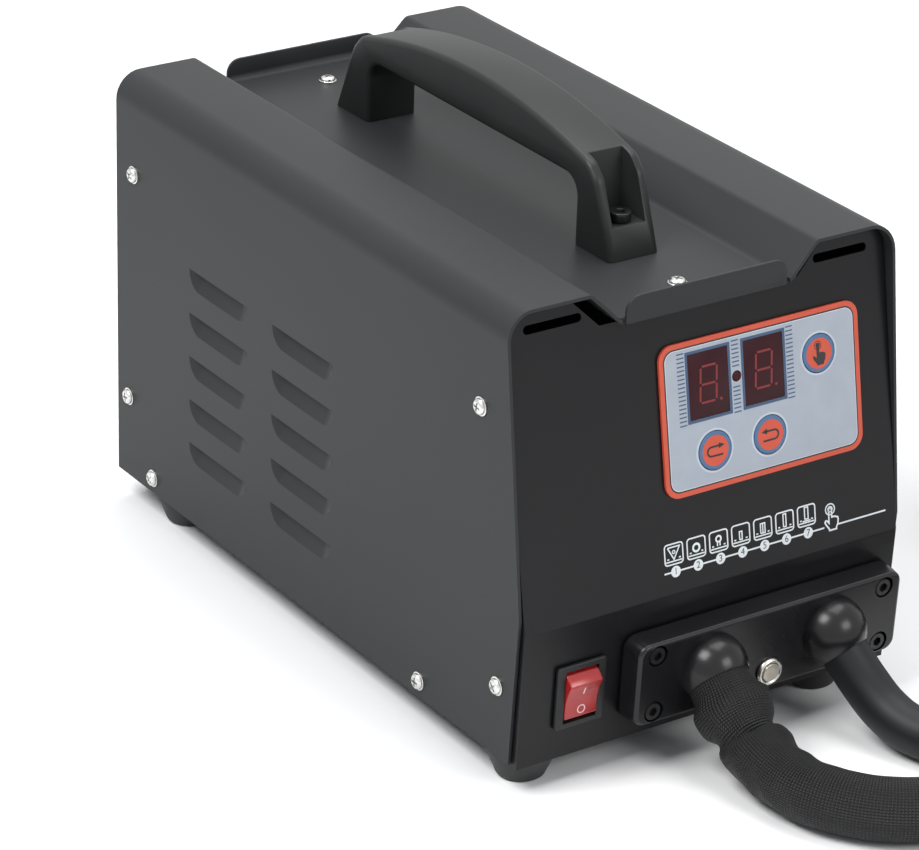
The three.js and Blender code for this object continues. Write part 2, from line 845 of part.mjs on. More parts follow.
function handleOutline() {
  const half = handleLength / 2;
  const shoulder = half - handleShoulderIn;
  const centre = handleArchHeight - handleArchRadius;
  const arch = Array.from({ length: 2 * arcSteps + 1 }, (_, k) => {
    const y = (shoulder - handleInnerCorner) * (1 - k / arcSteps);
    return [y, centre + Math.sqrt(handleArchRadius ** 2 - y ** 2), 0];
  });
  const inner = half - handleLegBase;
  return roundedOutline([
    [-inner, 0, 0], [-inner, handleGrip, handleInnerCorner], [inner, handleGrip, handleInnerCorner],
    [inner, 0, 0],
    [half, 0, 0], [shoulder + fit, handleShoulderHeight, handleInnerCorner], ...arch,
    [-shoulder - fit, handleShoulderHeight, handleInnerCorner], [-half, 0, 0],
  ].map(([y, z, r]) => [y + handleCentre, z, r]));
}

function handlePocket(end) {
  const top = pocketTop - pocketWidth / 2;
  const half = pocketWidth / 2;
  const outline = new THREE.Shape();
  outline.moveTo(-half, pocketFloor);
  outline.lineTo(half, pocketFloor);
  outline.absarc(0, top, half, 0, Math.PI);
  const outside = handleCentre + end * (handleLength / 2 + overrun);
  const inside = outside - end * (pocketDepth + overrun);
  return alongDepth(outline, Math.min(outside, inside), Math.max(outside, inside));
}

function makeHandle() {
  const half = handleWidth / 2 - handleEdge;
  const options = {
    bevelEnabled: true, bevelSize: handleEdge, bevelThickness: handleEdge, bevelOffset: -handleEdge,
    bevelSegments: 2,
  };
  const bar = acrossX(handleOutline(), -half, half, options);
  const bore = rod(boltRadius + fit, -overrun, pocketFloor + overrun, finePins);
  const bores = boltPlaces().map((y) => moved(bore, at(0, y, 0)));
  return cut(bar, handlePocket(-1), handlePocket(1), ...bores);
}

function makeHandleBolt() {
  const seat = pocketFloor + fit;
  const top = seat + boltHeadHeight;
  const socket = turned([
    [0, top - boltHeadHeight / 2], [boltRadius, top - boltHeadHeight / 2],
    [boltRadius, top + overrun], [0, top + overrun],
  ], 6);
  const foot = -coverSheet - boltTail / 2;
  return cut(turned([
    [0, foot], [boltRadius, foot], [boltRadius, seat], [boltHeadRadius, seat],
    [boltHeadRadius, top], [0, top],
  ], finePins), socket);
}

// Control panel

function digitPlaces() {
  return [['digit_left', digitLeft], ['digit_right', digitRight]];
}

function makeOverlay() {
  const shape = roundedRectangle(overlayWidth, overlayHeight, overlayCorner, overlayCentre, overlayRise);
  const plate = upright(shape, fit, fit + overlaySheet);
  const [width, height] = [digitWidth + 2 * fit, digitHeight + 2 * fit];
  const windows = digitPlaces().map(([, x]) => upright(
    roundedRectangle(width, height, fit, x, digitRise), -overrun, overlaySheet + overrun,
  ));
  const keyHole = rod(keyRadius + fit, -overrun, overlaySheet + overrun);
  const keyHoles = keyPlaces.map(([x, y]) => moved(keyHole, at(x, y, 0)));
  const lightRod = rod(lightRadius + fit, -overrun, overlaySheet + overrun, finePins);
  const lightHole = moved(lightRod, at(lightX, digitRise, 0));
  return cut(plate, ...windows, ...keyHoles, lightHole);
}

const boardFace = -digitBody + fit + overlaySheet - fit;

function makeBoard() {
  const y = overlayRise;
  const face = boardFace - panelSheet;
  const board = block(overlayCentre - boardWidth / 2, overlayCentre + boardWidth / 2,
    y - boardHeight / 2, y + boardHeight / 2, face - boardSheet, face);
  const half = tactWidth / 2;
  const tacts = keyPlaces.map(([x, rise]) => block(x - half, x + half, rise - half, rise + half,
    face - fit, face + tactHeight));
  return joined(board, ...tacts);
}

function makeDigit(x) {
  const [w, h] = [digitWidth / 2, digitHeight / 2];
  return block(x - w, x + w, digitRise - h, digitRise + h, boardFace - panelSheet + fit, fit + overlaySheet);
}

function makeLight() {
  const cap = fit + overlaySheet + fit;
  return moved(turned([
    [0, boardFace - panelSheet + fit], [lightRadius, boardFace - panelSheet + fit],
    [lightRadius, cap - fit],
    [lightRadius / 2, cap], [0, cap],
  ], finePins), at(lightX, digitRise, 0));
}

function makeKey() {
  const top = fit + overlaySheet + keyProud;
  const under = fit + keyTravel + fit;
  const foot = boardFace - panelSheet + tactHeight + keyTravel + fit;
  return turned([
    [0, foot], [keyStemRadius, foot], [keyStemRadius, under], [keyRadius, under], [keyRadius, top - fit],
    [keyRadius - fit, top], [0, top],
  ]);
}

function makeControls() {
  named('control_overlay', makeOverlay(), paleFilm, upperPanel);
  named('display_board', makeBoard(), boardGreen, upperPanel);
  for (const [name, x] of digitPlaces()) named(name, makeDigit(x), darkRed, upperPanel);
  named('status_light', makeLight(), darkLens, upperPanel);
  keyPlaces.forEach(([x, rise], i) => {
    named(keyNames[i], makeKey(), orangeFilm, upperPanel).position.set(x, rise, 0);
  });
}

// Rocker switch, about the middle of its bezel

function rockerOutline() {
  const top = rockerEnd + rockerPivotDepth;
  const rise = Math.asin(top / rockerRadius);
  const half = rockerRadius * Math.cos(rise);
  const steps = Array.from({ length: arcSteps + 1 }, (_, k) => k / arcSteps);
  const face = steps.map((share) => [half - 2 * half * share, top - 4 * rockerHollow * share * (1 - share)]);
  const end = (from, to) => steps.map((share) => from + (to - from) * share)
    .map((angle) => [rockerRadius * Math.cos(angle), rockerRadius * Math.sin(angle)]);
  return polygon([
    ...face.slice(1, -1), ...end(Math.PI - rise, Math.PI),
    [-rockerBack, -2 * rockerBack], [rockerBack, -2 * rockerBack], ...end(0, rise),
  ]);
}

function makeRocker() {
  const half = rockerWidth / 2;
  const radius = pivotRadius + fit;
  const pin = new THREE.CylinderGeometry(radius, radius, rockerWidth + overrun, finePins);
  const bore = solid(pin.rotateZ(Math.PI / 2));
  return cut(acrossX(rockerOutline(), -half, half), bore);
}

function makeSwitchHousing() {
  const bezelShape = roundedRectangle(switchBezelWidth, switchBezelHeight, creaseRadius / 2);
  const bezel = upright(bezelShape, fit, switchBezelProud + fit);
  const bodyShape = roundedRectangle(switchBodyWidth, switchBodyHeight, creaseRadius / 2);
  const body = upright(bodyShape, -switchBodyDepth, switchBezelProud);
  const [w, h] = [rockerWidth / 2 + runningFit, rockerRadius + fit];
  const well = block(-w, w, -h, h, -switchBodyDepth + panelSheet, switchBezelProud + fit + overrun);
  const pin = solid(new THREE.CylinderGeometry(pivotRadius, pivotRadius, 2 * w + panelSheet, finePins)
    .rotateZ(Math.PI / 2).translate(0, 0, -rockerPivotDepth));
  return joined(cut(joined(bezel, body), well), pin);
}

function makeSwitch() {
  const place = new THREE.Group();
  place.position.set(switchX, -switchDrop, 0);
  lowerPanel.add(place);
  named('switch_housing', makeSwitchHousing(), blackPlastic, place);
  const rocker = named('switch_rocker', makeRocker(), clearRed, place);
  rocker.position.set(0, 0, -rockerPivotDepth);
  rocker.rotation.x = degrees(rockerTilt);
}

// Connector block

function blockScrewPlaces() {
  const places = [];
  for (const x of [-1, 1]) {
    const across = blockCentre + x * (blockWidth / 2 - blockScrewIn);
    for (const y of [1, -1]) places.push([across, -blockDrop + y * blockScrewUp]);
  }
  return places;
}

// The direction in which a lead leaves its hood, on the lower panel's frame.
function exitDirection(tilt, turn) {
  const down = degrees(tilt) - lowerTilt;
  const [across, out] = [Math.sin(degrees(turn)), Math.cos(degrees(turn))];
  return new THREE.Vector3(across * Math.cos(down), -Math.sin(down), out * Math.cos(down));
}

function leadBore(x, radius, direction) {
  const bore = rod(radius + leadFit, -fit, 3 * radius);
  return moved(bore, at(x, -blockDrop, blockDepth).multiply(turnedTo(direction)));
}

function makeBlock() {
  const [width, height] = [blockWidth - 2 * blockEdge, blockHeight - 2 * blockEdge];
  const shape = roundedRectangle(width, height, blockCorner, blockCentre, -blockDrop);
  const options = { bevelEnabled: true, bevelSize: blockEdge, bevelThickness: blockEdge, bevelSegments: 2 };
  let body = upright(shape, -blockDepth, blockDepth - blockEdge, options);
  for (const [x, radius] of [[gunHoodX, gunHoodRadius], [earthHoodX, earthHoodRadius]]) {
    const hood = solid(new THREE.SphereGeometry(radius, roundSteps + arcSteps, roundSteps / 2));
    body = body.add(moved(hood, at(x, -blockDrop, blockDepth)));
  }
  const behind = 2 * gunHoodRadius + blockDepth;
  const [left, right] = [blockCentre - blockWidth, blockCentre + blockWidth];
  body = body.subtract(block(left, right, -2 * blockDrop, blockDrop, -behind, fit));
  body = cut(
    body,
    leadBore(gunHoodX, gunLeadRadius, exitDirection(gunExitTilt, 0)),
    leadBore(earthHoodX, earthLeadRadius, exitDirection(earthExitTilt, earthExitTurn)),
  );
  const pockets = [gunHoodX, earthHoodX].map((x) => block(x - barWidth / 2 - fit, x + barWidth / 2 + fit,
    -blockDrop - barThick / 2 - fit, -blockDrop + barThick / 2 + fit, -overrun, barThick));
  const holes = blockScrewPlaces().flatMap(([x, y]) => [
    moved(rod(capRadius + fit, -overrun, blockDepth + overrun, finePins), at(x, y, 0)),
    moved(rod(counterboreRadius, blockDepth - counterboreDepth, blockDepth + overrun), at(x, y, 0)),
  ]);
  const buttonRod = rod(buttonBarrelRadius + fit, -overrun, blockDepth + overrun);
  const button = moved(buttonRod, at(buttonX, -buttonDrop, 0));
  return cut(body, ...pockets, ...holes, button);
}

function makeCapScrew() {
  const top = fit + capHeadHeight;
  const socket = turned([
    [0, top - capSocketDepth], [capSocketRadius, top - capSocketDepth],
    [capSocketRadius, top + overrun], [0, top + overrun],
  ], 6);
  return cut(turned([
    [0, -capLength], [capRadius, -capLength], [capRadius, fit], [capHeadRadius, fit],
    [capHeadRadius, top], [0, top],
  ], roundSteps), socket);
}

function makeButtonBody() {
  const seat = blockDepth + fit;
  const face = seat + buttonFlangeProud;
  const hollow = rod(buttonCapRadius + fit, face - buttonCapLength - buttonTravel - fit, face + overrun);
  return cut(turned([
    [0, face - buttonBarrelLength], [buttonBarrelRadius, face - buttonBarrelLength],
    [buttonBarrelRadius, seat],
    [buttonFlangeRadius, seat], [buttonFlangeRadius, seat + buttonFlangeProud / 2],
    [buttonFlangeRadius - buttonFlangeProud / 2, face], [0, face],
  ]), hollow);
}

function makeButtonCap() {
  const face = blockDepth + fit + buttonFlangeProud;
  return rod(buttonCapRadius, face - buttonCapLength, face + buttonCapProud);
}

function makeConnector() {
  named('connector_block', makeBlock(), blackPlastic, lowerPanel);
  blockScrewPlaces().forEach(([x, y], i) => {
    const screw = named(`block_screw_${i + 1}`, makeCapScrew(), blackSteel, lowerPanel);
    screw.position.set(x, y, blockDepth - counterboreDepth);
  });
  named('push_button_body', makeButtonBody(), stainless, lowerPanel).position.set(buttonX, -buttonDrop, 0);
  named('push_button_cap', makeButtonCap(), stainless, lowerPanel).position.set(buttonX, -buttonDrop, 0);
}

// Transformer and power parts

const coreBottom = baseTop + fit;
const coreHalf = 2 * coreLeg + coreWindow;
const coreHeight = 2 * coreLeg + coreWindowHeight;

function makeCore() {
  const outer = block(-coreHalf, coreHalf, -coreStack / 2, coreStack / 2, 0, coreHeight);
  const window = (side) => block(
    Math.min(side * coreLeg, side * (coreLeg + coreWindow)),
    Math.max(side * coreLeg, side * (coreLeg + coreWindow)),
    -coreStack / 2 - overrun, coreStack / 2 + overrun, coreLeg, coreLeg + coreWindowHeight,
  );
  return cut(outer, window(-1), window(1));
}

function makeWinding(from, height, gap) {
  const thick = windingThick;
  const [x, y] = [coreLeg + fit, coreStack / 2 + fit];
  const ring = cut(
    upright(roundedRectangle(2 * (x + thick), 2 * (y + thick), thick / 2), from, from + height),
    upright(roundedRectangle(2 * x, 2 * y, fit), from - overrun, from + height + overrun),
  );
  if (!gap) return ring;
  const slot = block(-gap / 2, gap / 2, -y - thick - overrun, 0, from - overrun, from + height + overrun);
  return cut(ring, slot);
}

// A copper bar from the secondary's end to the back of the connector block.
function makeBar(hoodX, side) {
  const start = coreY - coreStack / 2 - fit - windingThick - fit;
  const level = coreBottom + coreLeg + fit + windingHeight + fit + secondaryHeight / 2;
  const endPoint = new THREE.Vector3(hoodX, -blockDrop, barThick - fit).applyMatrix4(lowerFrame);
  const x = coreX + side * (secondaryGap / 2 + barThick);
  const [w, t] = [barWidth / 2, barThick / 2];
  const [left, right] = [Math.min(x, hoodX) - w, Math.max(x, hoodX) + w];
  const riser = block(left, right, start - barThick, start, level - w, level + w);
  const drop = block(hoodX - w, hoodX + w, start - barThick, start, endPoint.z - t, level + w);
  const forward = block(hoodX - w, hoodX + w, endPoint.y, start, endPoint.z - t, endPoint.z + t);
  return joined(riser, drop, forward);
}

function makeSink() {
  const [long, wide] = [sinkLength / 2, sinkWidth / 2];
  const base = block(-long, long, -wide, wide, sinkFin, sinkFin + sinkBase);
  const fins = Array.from({ length: sinkFins }, (_, k) => {
    const y = -sinkWidth / 2 + (sinkWidth - sinkFinSheet) * k / (sinkFins - 1);
    return block(-sinkLength / 2, sinkLength / 2, y, y + sinkFinSheet, 0, sinkFin + sinkBase / 2);
  });
  return joined(base, ...fins);
}

function makeModule() {
  const body = block(-moduleLength / 2, moduleLength / 2, -moduleWidth / 2, moduleWidth / 2, 0, moduleHeight);
  const terminalTop = moduleHeight + moduleTerminalHeight;
  const terminal = rod(moduleTerminalRadius, moduleHeight - fit, terminalTop, finePins);
  const terminals = [-1, 0, 1].map((k) => moved(terminal, at(k * moduleTerminalPitch, 0, 0)));
  return joined(body, ...terminals);
}

function makePower() {
  named('transformer_core', makeCore(), ironCore, machine).position.set(coreX, coreY, coreBottom);
  const primary = makeWinding(coreLeg + fit, windingHeight, 0);
  named('primary_winding', primary, enamel, machine).position.set(coreX, coreY, coreBottom);
  const secondary = makeWinding(coreLeg + 2 * fit + windingHeight, secondaryHeight, secondaryGap);
  named('secondary_winding', secondary, copper, machine).position.set(coreX, coreY, coreBottom);
  named('gun_bar', makeBar(gunHoodX, -1), copper, machine);
  named('earth_bar', makeBar(earthHoodX, 1), copper, machine);
  named('heat_sink', makeSink(), aluminium, machine).position.set(0, moduleY, coreBottom);
  const seat = coreBottom + sinkFin + sinkBase + fit;
  named('power_module', makeModule(), blackPlastic, machine).position.set(0, moduleY, seat);
}

// Fan, about its axle, with Z towards the rear panel

const fanPlace = basis([-1, 0, 0], [0, 0, 1], [0, 1, 0])
  .setPosition(0, rearFace - panelSheet - fit - fanDepth, floorLevel + fanRise);

function makeFanFrame() {
  const frame = cut(
    upright(roundedRectangle(fanSize, fanSize, baseBend), 0, fanDepth),
    rod(fanBore, -overrun, fanDepth + overrun, 2 * roundSteps),
  );
  const struts = [0, 1].map((k) => {
    const strut = block(-fanBore - overrun, fanBore + overrun, -fanStrut / 2, fanStrut / 2, 0, fanStrutDepth);
    return moved(strut, new THREE.Matrix4().makeRotationZ(Math.PI / 4 + k * Math.PI / 2));
  });
  const hub = rod(fanHubRadius, 0, fanStrutDepth + rotorDepth / 2);
  return joined(frame, ...struts, hub);
}

function makeRotor() {
  const from = fanStrutDepth + runningFit;
  const hub = turned([
    [0, from + rotorDepth], [rotorHubRadius, from + rotorDepth], [rotorHubRadius, from],
    [fanHubRadius + runningFit, from],
    [fanHubRadius + runningFit, fanStrutDepth + rotorDepth / 2 + runningFit],
    [0, fanStrutDepth + rotorDepth / 2 + runningFit],
  ].reverse());
  const blades = Array.from({ length: rotorBlades }, (_, k) => {
    const blade = block(rotorHubRadius - rotorWall / 2, rotorRadius,
      -rotorBladeSheet / 2, rotorBladeSheet / 2, -rotorBladeWidth / 2, rotorBladeWidth / 2);
    const pitch = new THREE.Matrix4().makeRotationX(degrees(rotorBladePitch));
    const turn = new THREE.Matrix4().makeRotationZ(2 * Math.PI * k / rotorBlades);
    return moved(blade, at(0, 0, from + rotorDepth / 2).multiply(turn).multiply(pitch));
  });
  return joined(hub, ...blades);
}

function makeFan() {
  named('fan_frame', makeFanFrame(), blackPlastic, machine).applyMatrix4(fanPlace);
  named('fan_rotor', makeRotor(), blackPlastic, machine).applyMatrix4(fanPlace);
}

function makeGland() {
  return turned([
    [glandBore, -glandInside], [glandShankRadius, -glandInside], [glandShankRadius, fit],
    [glandFlangeRadius, fit],
    [glandFlangeRadius, glandProud / 2], [glandNoseRadius, glandProud], [glandBore, glandProud],
    [glandBore, -glandInside],
  ]);
}

// Leads: plain tubes where they run free, and wound coils

function tube(points, radius, sides, steps) {
  const curve = new THREE.CatmullRomCurve3(points.map((p) => new THREE.Vector3(...p)));
  const section = new THREE.Shape();
  for (let k = 0; k < sides; k += 1) {
    const angle = 2 * Math.PI * (k + 1 / 2) / sides;
    const [x, y] = [radius * Math.cos(angle), radius * Math.sin(angle)];
    if (k) section.lineTo(x, y);
    else section.moveTo(x, y);
  }
  return solid(new THREE.ExtrudeGeometry(section, { steps, extrudePath: curve, bevelEnabled: false }));
}

// A flat spiral that winds inwards from `start`, then bends in to what the lead ends in.
// It leaves `start` along X, and its middle lies towards Y.
function coilLine({ start, radius, pitch, turns, tailRadius, tailTurn, lead }) {
  const [x, y, z] = start;
  const middle = y + radius;
  const points = [[x - lead, y, z]];
  const first = -Math.PI / 2;
  const steps = Math.round(turns * coilSteps);
  for (let k = 0; k <= steps; k += 1) {
    const r = radius - pitch * k / coilSteps;
    const angle = first + 2 * Math.PI * k / coilSteps;
    points.push([x + r * Math.cos(angle), middle + r * Math.sin(angle), z]);
  }
  const last = first + 2 * Math.PI * steps / coilSteps;
  const r = radius - pitch * steps / coilSteps;
  const [cx, cy] = [x + (r - tailRadius) * Math.cos(last), middle + (r - tailRadius) * Math.sin(last)];
  const bends = Math.ceil(tailTurn / (360 / coilSteps));
  let angle = last;
  for (let k = 1; k <= bends; k += 1) {
    angle = last + degrees(tailTurn) * k / bends;
    points.push([cx + tailRadius * Math.cos(angle), cy + tailRadius * Math.sin(angle), z]);
  }
  const heading = [-Math.sin(angle), Math.cos(angle)];
  const end = points.at(-1);
  points.push([end[0] + lead * heading[0], end[1] + lead * heading[1], z]);
  return { points, heading, end: points.at(-1) };
}

// The least space between a tube's turns, measured on the places of its rings.
function leastGap(points, radius, steps) {
  const rings = new THREE.CatmullRomCurve3(points.map((p) => new THREE.Vector3(...p))).getSpacedPoints(steps);
  const near = new THREE.Vector3();
  let least = Infinity;
  rings.forEach((ring, i) => {
    for (let j = i + coilSteps / 2; j < steps; j += 1) {
      new THREE.Line3(rings[j], rings[j + 1]).closestPointToPoint(ring, true, near);
      least = Math.min(least, near.distanceTo(ring) - 2 * radius);
    }
  });
  return least;
}

function afterLead(route) {
  const [last, end] = route.slice(-2);
  const length = Math.hypot(...end.map((v, k) => v - last[k]));
  return end.map((v, k) => v + (v - last[k]) / length * fit);
}

function makeCoil(name, route, radius, numbers, material, parent) {
  const lead = 2 * radius;
  const begin = afterLead(route);
  const start = [begin[0] + lead, begin[1], begin[2]];
  const line = coilLine({ ...numbers, start, pitch: 2 * radius + coilClear, lead });
  const steps = line.points.length - 1;
  console.log(`${name}: least gap between turns ${leastGap(line.points, radius, steps).toFixed(2)} mm`);
  named(name, tube(line.points, radius, coilSides, steps), material, parent);
  return line;
}

// Spot gun: X along the barrel, Y from the grip's end towards the barrel, on the floor

function gunBodyOutline() {
  const grip = gunGripWidth / 2;
  const rear = -gunGripFromRear - grip;
  const front = rear + gunBarrelLength;
  const [low, high] = [gunGripLength, gunGripLength + gunBarrelHeight];
  return roundedOutline([
    [-grip, 0, 2 * gunEdge], [grip, 0, 2 * gunEdge], [grip, low, gunEdge],
    [front, low + gunEdge, 2 * gunEdge],
    [front, high - gunEdge, 2 * gunEdge], [rear, high, 2 * gunEdge], [rear, low, 2 * gunEdge],
    [-grip, low - gunEdge, gunEdge],
  ]);
}

function makeGunBody() {
  const options = {
    bevelEnabled: true, bevelSize: gunEdge, bevelThickness: gunEdge, bevelOffset: -gunEdge, bevelSegments: 1,
  };
  const body = upright(gunBodyOutline(), gunEdge, gunThick - gunEdge, options);
  const [x, y, z] = nosePlace();
  const seatPlace = at(x - gunNoseSeat - fit, y, z).multiply(turnedTo(new THREE.Vector3(1, 0, 0)));
  const seat = moved(rod(gunNoseRadius - gunNoseStep + fit, 0, 2 * gunNoseSeat), seatPlace);
  const [pinX, pinY] = triggerPin();
  const pocket = block(gunGripWidth / 2 - triggerPocket, gunGripWidth / 2 + overrun,
    pinY - triggerLength - overrun, pinY + triggerAbove + overrun,
    (gunThick - triggerThick) / 2 - runningFit, (gunThick + triggerThick) / 2 + runningFit);
  const [pinLow, pinHigh] = [gunThick / 2 - triggerThick, gunThick / 2 + triggerThick];
  const pin = moved(rod(triggerPinRadius, pinLow, pinHigh, finePins), at(pinX, pinY, 0));
  return joined(cut(body, seat, pocket), pin);
}

function nosePlace() {
  const front = -gunGripFromRear - gunGripWidth / 2 + gunBarrelLength;
  return [front, gunGripLength + gunBarrelHeight / 2, gunThick / 2];
}

function triggerPin() {
  return [gunGripWidth / 2 - triggerPinIn, gunGripLength - triggerPinDrop];
}

function makeTrigger() {
  const blade = upright(roundedOutline([
    [-triggerBack, triggerAbove, 0], [-triggerBack, -triggerLength, 0],
    [triggerWidth, -triggerLength, gunEdge], [triggerWidth / 2, triggerAbove, gunEdge],
  ]), (gunThick - triggerThick) / 2, (gunThick + triggerThick) / 2);
  return cut(blade, rod(triggerPinRadius + fit, -overrun, gunThick + overrun, finePins));
}

function makeNose() {
  const [seat, face] = [-gunNoseSeat, fit];
  return moved(turned([
    [0, seat], [gunNoseRadius - gunNoseStep, seat], [gunNoseRadius - gunNoseStep, face],
    [gunNoseRadius, face],
    [gunNoseRadius, gunNoseLength / 2], [gunNoseRadius / 2, gunNoseLength], [gunTipRadius, gunNoseLength],
    [gunTipRadius, gunNoseLength + gunTipLength - gunTipRadius],
    [gunTipRadius / 3, gunNoseLength + gunTipLength],
    [0, gunNoseLength + gunTipLength],
  ]), turnedTo(new THREE.Vector3(1, 0, 0)));
}

// Places a group just past the end of a coil's line, at a height, with Y along the lead.
function pastLead(line, height) {
  const group = new THREE.Group();
  const [hx, hy] = line.heading;
  group.position.set(line.end[0] + hx * fit, line.end[1] + hy * fit, height);
  group.rotation.z = Math.atan2(hy, hx) - Math.PI / 2;
  return group;
}

// The gun lies inside its coil, with its nose to the left of the way the lead goes.
function makeGun(line, parent) {
  const gun = pastLead(line, gunThick);
  gun.rotateY(Math.PI);
  parent.add(gun);
  named('gun_body', makeGunBody(), blackPlastic, gun);
  named('gun_nose', makeNose(), brass, gun).position.set(...nosePlace());
  named('gun_trigger', makeTrigger(), orangeFilm, gun).position.set(...triggerPin(), 0);
}

function makeLug(line, parent) {
  const place = pastLead(line, line.end[2] - lugBarrelRadius);
  parent.add(place);
  const sideways = new THREE.Matrix4().makeRotationX(-Math.PI / 2);
  const barrelPlace = at(0, 0, lugBarrelRadius).multiply(sideways);
  const barrel = moved(rod(lugBarrelRadius, 0, lugBarrelLength), barrelPlace);
  const palm = block(-lugPalmWidth / 2, lugPalmWidth / 2, lugBarrelLength - lugPalmThick,
    lugBarrelLength + lugPalmLength, 0, lugPalmThick);
  const hole = moved(rod(lugHoleRadius, -overrun, lugPalmThick + overrun),
    at(0, lugBarrelLength + lugPalmLength - lugPalmWidth / 2, 0));
  named('earth_lug', cut(joined(barrel, palm), hole), copper, place);
}

function makeLeads(parent) {
  const lead = (route, radius) => tube(route, radius, leadSides, route.length - 1);
  named('gun_lead', lead(gunLeadRoute, gunLeadRadius), sleeveCloth, parent);
  const gunLine = makeCoil('gun_coil', gunLeadRoute, gunLeadRadius, {
    radius: gunCoilRadius, turns: gunCoilTurns, tailRadius: gunTailRadius, tailTurn: gunTailTurn,
  }, sleeveCloth, parent);
  makeGun(gunLine, parent);
  named('earth_lead', lead(earthLeadRoute, earthLeadRadius), leadRubber, parent);
  const earthLine = makeCoil('earth_coil', earthLeadRoute, earthLeadRadius, {
    radius: earthCoilRadius, turns: earthCoilTurns, tailRadius: earthTailRadius, tailTurn: earthTailTurn,
  }, leadRubber, parent);
  makeLug(earthLine, parent);
}

// The whole machine

named('top_cover', makeCover(), powderCoat, machine);
named('front_panel', makeFrontPanel(), panelPaint, machine);
named('rear_panel', makeRearPanel(), panelPaint, machine);
named('base_tray', makeBase(), powderCoat, machine);
for (const [name, x, y] of footPlaces()) named(name, makeFoot(), rubber, machine).position.set(x, y, 0);
named('carry_handle', makeHandle(), blackPlastic, machine).position.set(0, 0, trayTop + fit);
boltPlaces().forEach((y, i) => {
  const bolt = named(['handle_bolt_front', 'handle_bolt_rear'][i], makeHandleBolt(), blackSteel, machine);
  bolt.position.set(0, y, trayTop + fit);
});
makeCoverScrews();
makeControls();
makeSwitch();
makeConnector();
makePower();
makeFan();
named('mains_gland', makeGland(), blackPlastic, machine).applyMatrix4(rearMatrix(glandX, glandRise));

// The origin lies on the floor under the middle of the machine, its leads left out.
const extent = new THREE.Box3().setFromObject(machine, true);
machine.position.y = -(extent.min.y + extent.max.y) / 2;

const group = new THREE.Group();
group.add(machine);
makeLeads(group);

export default group;
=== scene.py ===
# %% [markdown]
# # A spot welder for pulling dents out of car panels
#
# The machine is a folded steel cover over a leaning front panel, with a carrying handle in a
# valley along its top. Two welding cables leave round hoods at its foot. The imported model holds
# every solid piece at its real size, so it is loaded first and never moved. The pieces that the
# eye meets are then modelled over it, one at a time, and each takes the place of its solid.

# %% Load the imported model
import json
import math

import bmesh
import bpy
from mathutils import Matrix, Vector

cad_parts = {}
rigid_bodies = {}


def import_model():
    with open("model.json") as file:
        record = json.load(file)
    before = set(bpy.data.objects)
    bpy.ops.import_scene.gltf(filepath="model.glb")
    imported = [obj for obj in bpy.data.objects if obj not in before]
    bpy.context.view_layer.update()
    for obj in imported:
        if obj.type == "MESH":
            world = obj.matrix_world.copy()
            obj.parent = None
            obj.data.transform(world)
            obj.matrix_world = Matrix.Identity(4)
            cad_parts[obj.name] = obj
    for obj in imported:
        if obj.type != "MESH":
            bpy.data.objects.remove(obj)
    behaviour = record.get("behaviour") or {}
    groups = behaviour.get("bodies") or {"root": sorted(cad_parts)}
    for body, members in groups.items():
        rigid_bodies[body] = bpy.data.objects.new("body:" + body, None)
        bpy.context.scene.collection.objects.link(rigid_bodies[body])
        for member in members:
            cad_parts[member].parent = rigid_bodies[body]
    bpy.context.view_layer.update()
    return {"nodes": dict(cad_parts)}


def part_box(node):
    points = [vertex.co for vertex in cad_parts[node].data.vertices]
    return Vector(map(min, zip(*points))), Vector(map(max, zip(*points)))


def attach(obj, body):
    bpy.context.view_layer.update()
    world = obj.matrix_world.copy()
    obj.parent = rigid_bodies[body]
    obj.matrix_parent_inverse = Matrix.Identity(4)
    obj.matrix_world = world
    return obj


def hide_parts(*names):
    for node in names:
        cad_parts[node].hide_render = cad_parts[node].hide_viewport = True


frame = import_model()
print("solids loaded:", len(frame["nodes"]))

# %% [markdown]
# ## Camera
#
# The photograph was taken from above and to the left of the machine with a long lens, so the
# upright edges stay nearly parallel. A camera could be aimed by eye, but measured corners of the
# case fix its place, its turn and its slight tilt much better, so those numbers are used.

# %% Camera at the photograph's viewing angle
CAMERA_PLACE = (-0.971, -1.3694, 0.883)
CAMERA_TURN = -34.64
CAMERA_DOWN = 25.42
CAMERA_TILT = 1.89

camera_data = bpy.data.cameras.new("camera")
camera_data.lens = 157.5
camera_data.sensor_width = 36.0
camera_data.sensor_fit = "HORIZONTAL"
camera_data.clip_end = 50.0
camera = bpy.data.objects.new("camera", camera_data)
bpy.context.scene.collection.objects.link(camera)
turn = Matrix.Rotation(math.radians(CAMERA_TURN), 4, "Z")
lean = Matrix.Rotation(math.radians(90 - CAMERA_DOWN), 4, "X")
tilt = Matrix.Rotation(math.radians(CAMERA_TILT), 4, "Z")
camera.matrix_world = Matrix.Translation(CAMERA_PLACE) @ turn @ lean @ tilt
bpy.context.scene.camera = camera
print("camera at", [round(v, 3) for v in camera.location])

# %% [markdown]
# ## Small helpers
#
# An operator works on whatever is selected, and loading a model leaves its pieces selected. So
# every step begins by clearing the selection, and faces are picked by the way they face. That
# reads like working by hand, and it gives the same result each time.

# %% Select, edit and pick by direction
MM = 0.001


def mm(*values):
    return Vector([value * MM for value in values])


def place_at(x, y, z=0):
    """A place at a point given in millimetres."""
    return Matrix.Translation(mm(x, y, z))


def middle_of(node):
    low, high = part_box(node)
    return (Vector(low) + Vector(high)) / 2


def new_piece(name, mesh):
    piece = bpy.data.objects.new(name, mesh)
    bpy.context.scene.collection.objects.link(piece)
    return piece


def built(name, corners, faces):
    mesh = bpy.data.meshes.new(name)
    mesh.from_pydata(corners, [], faces)
    return new_piece(name, mesh)


def clear_selection():
    bpy.ops.object.select_all(action="DESELECT")


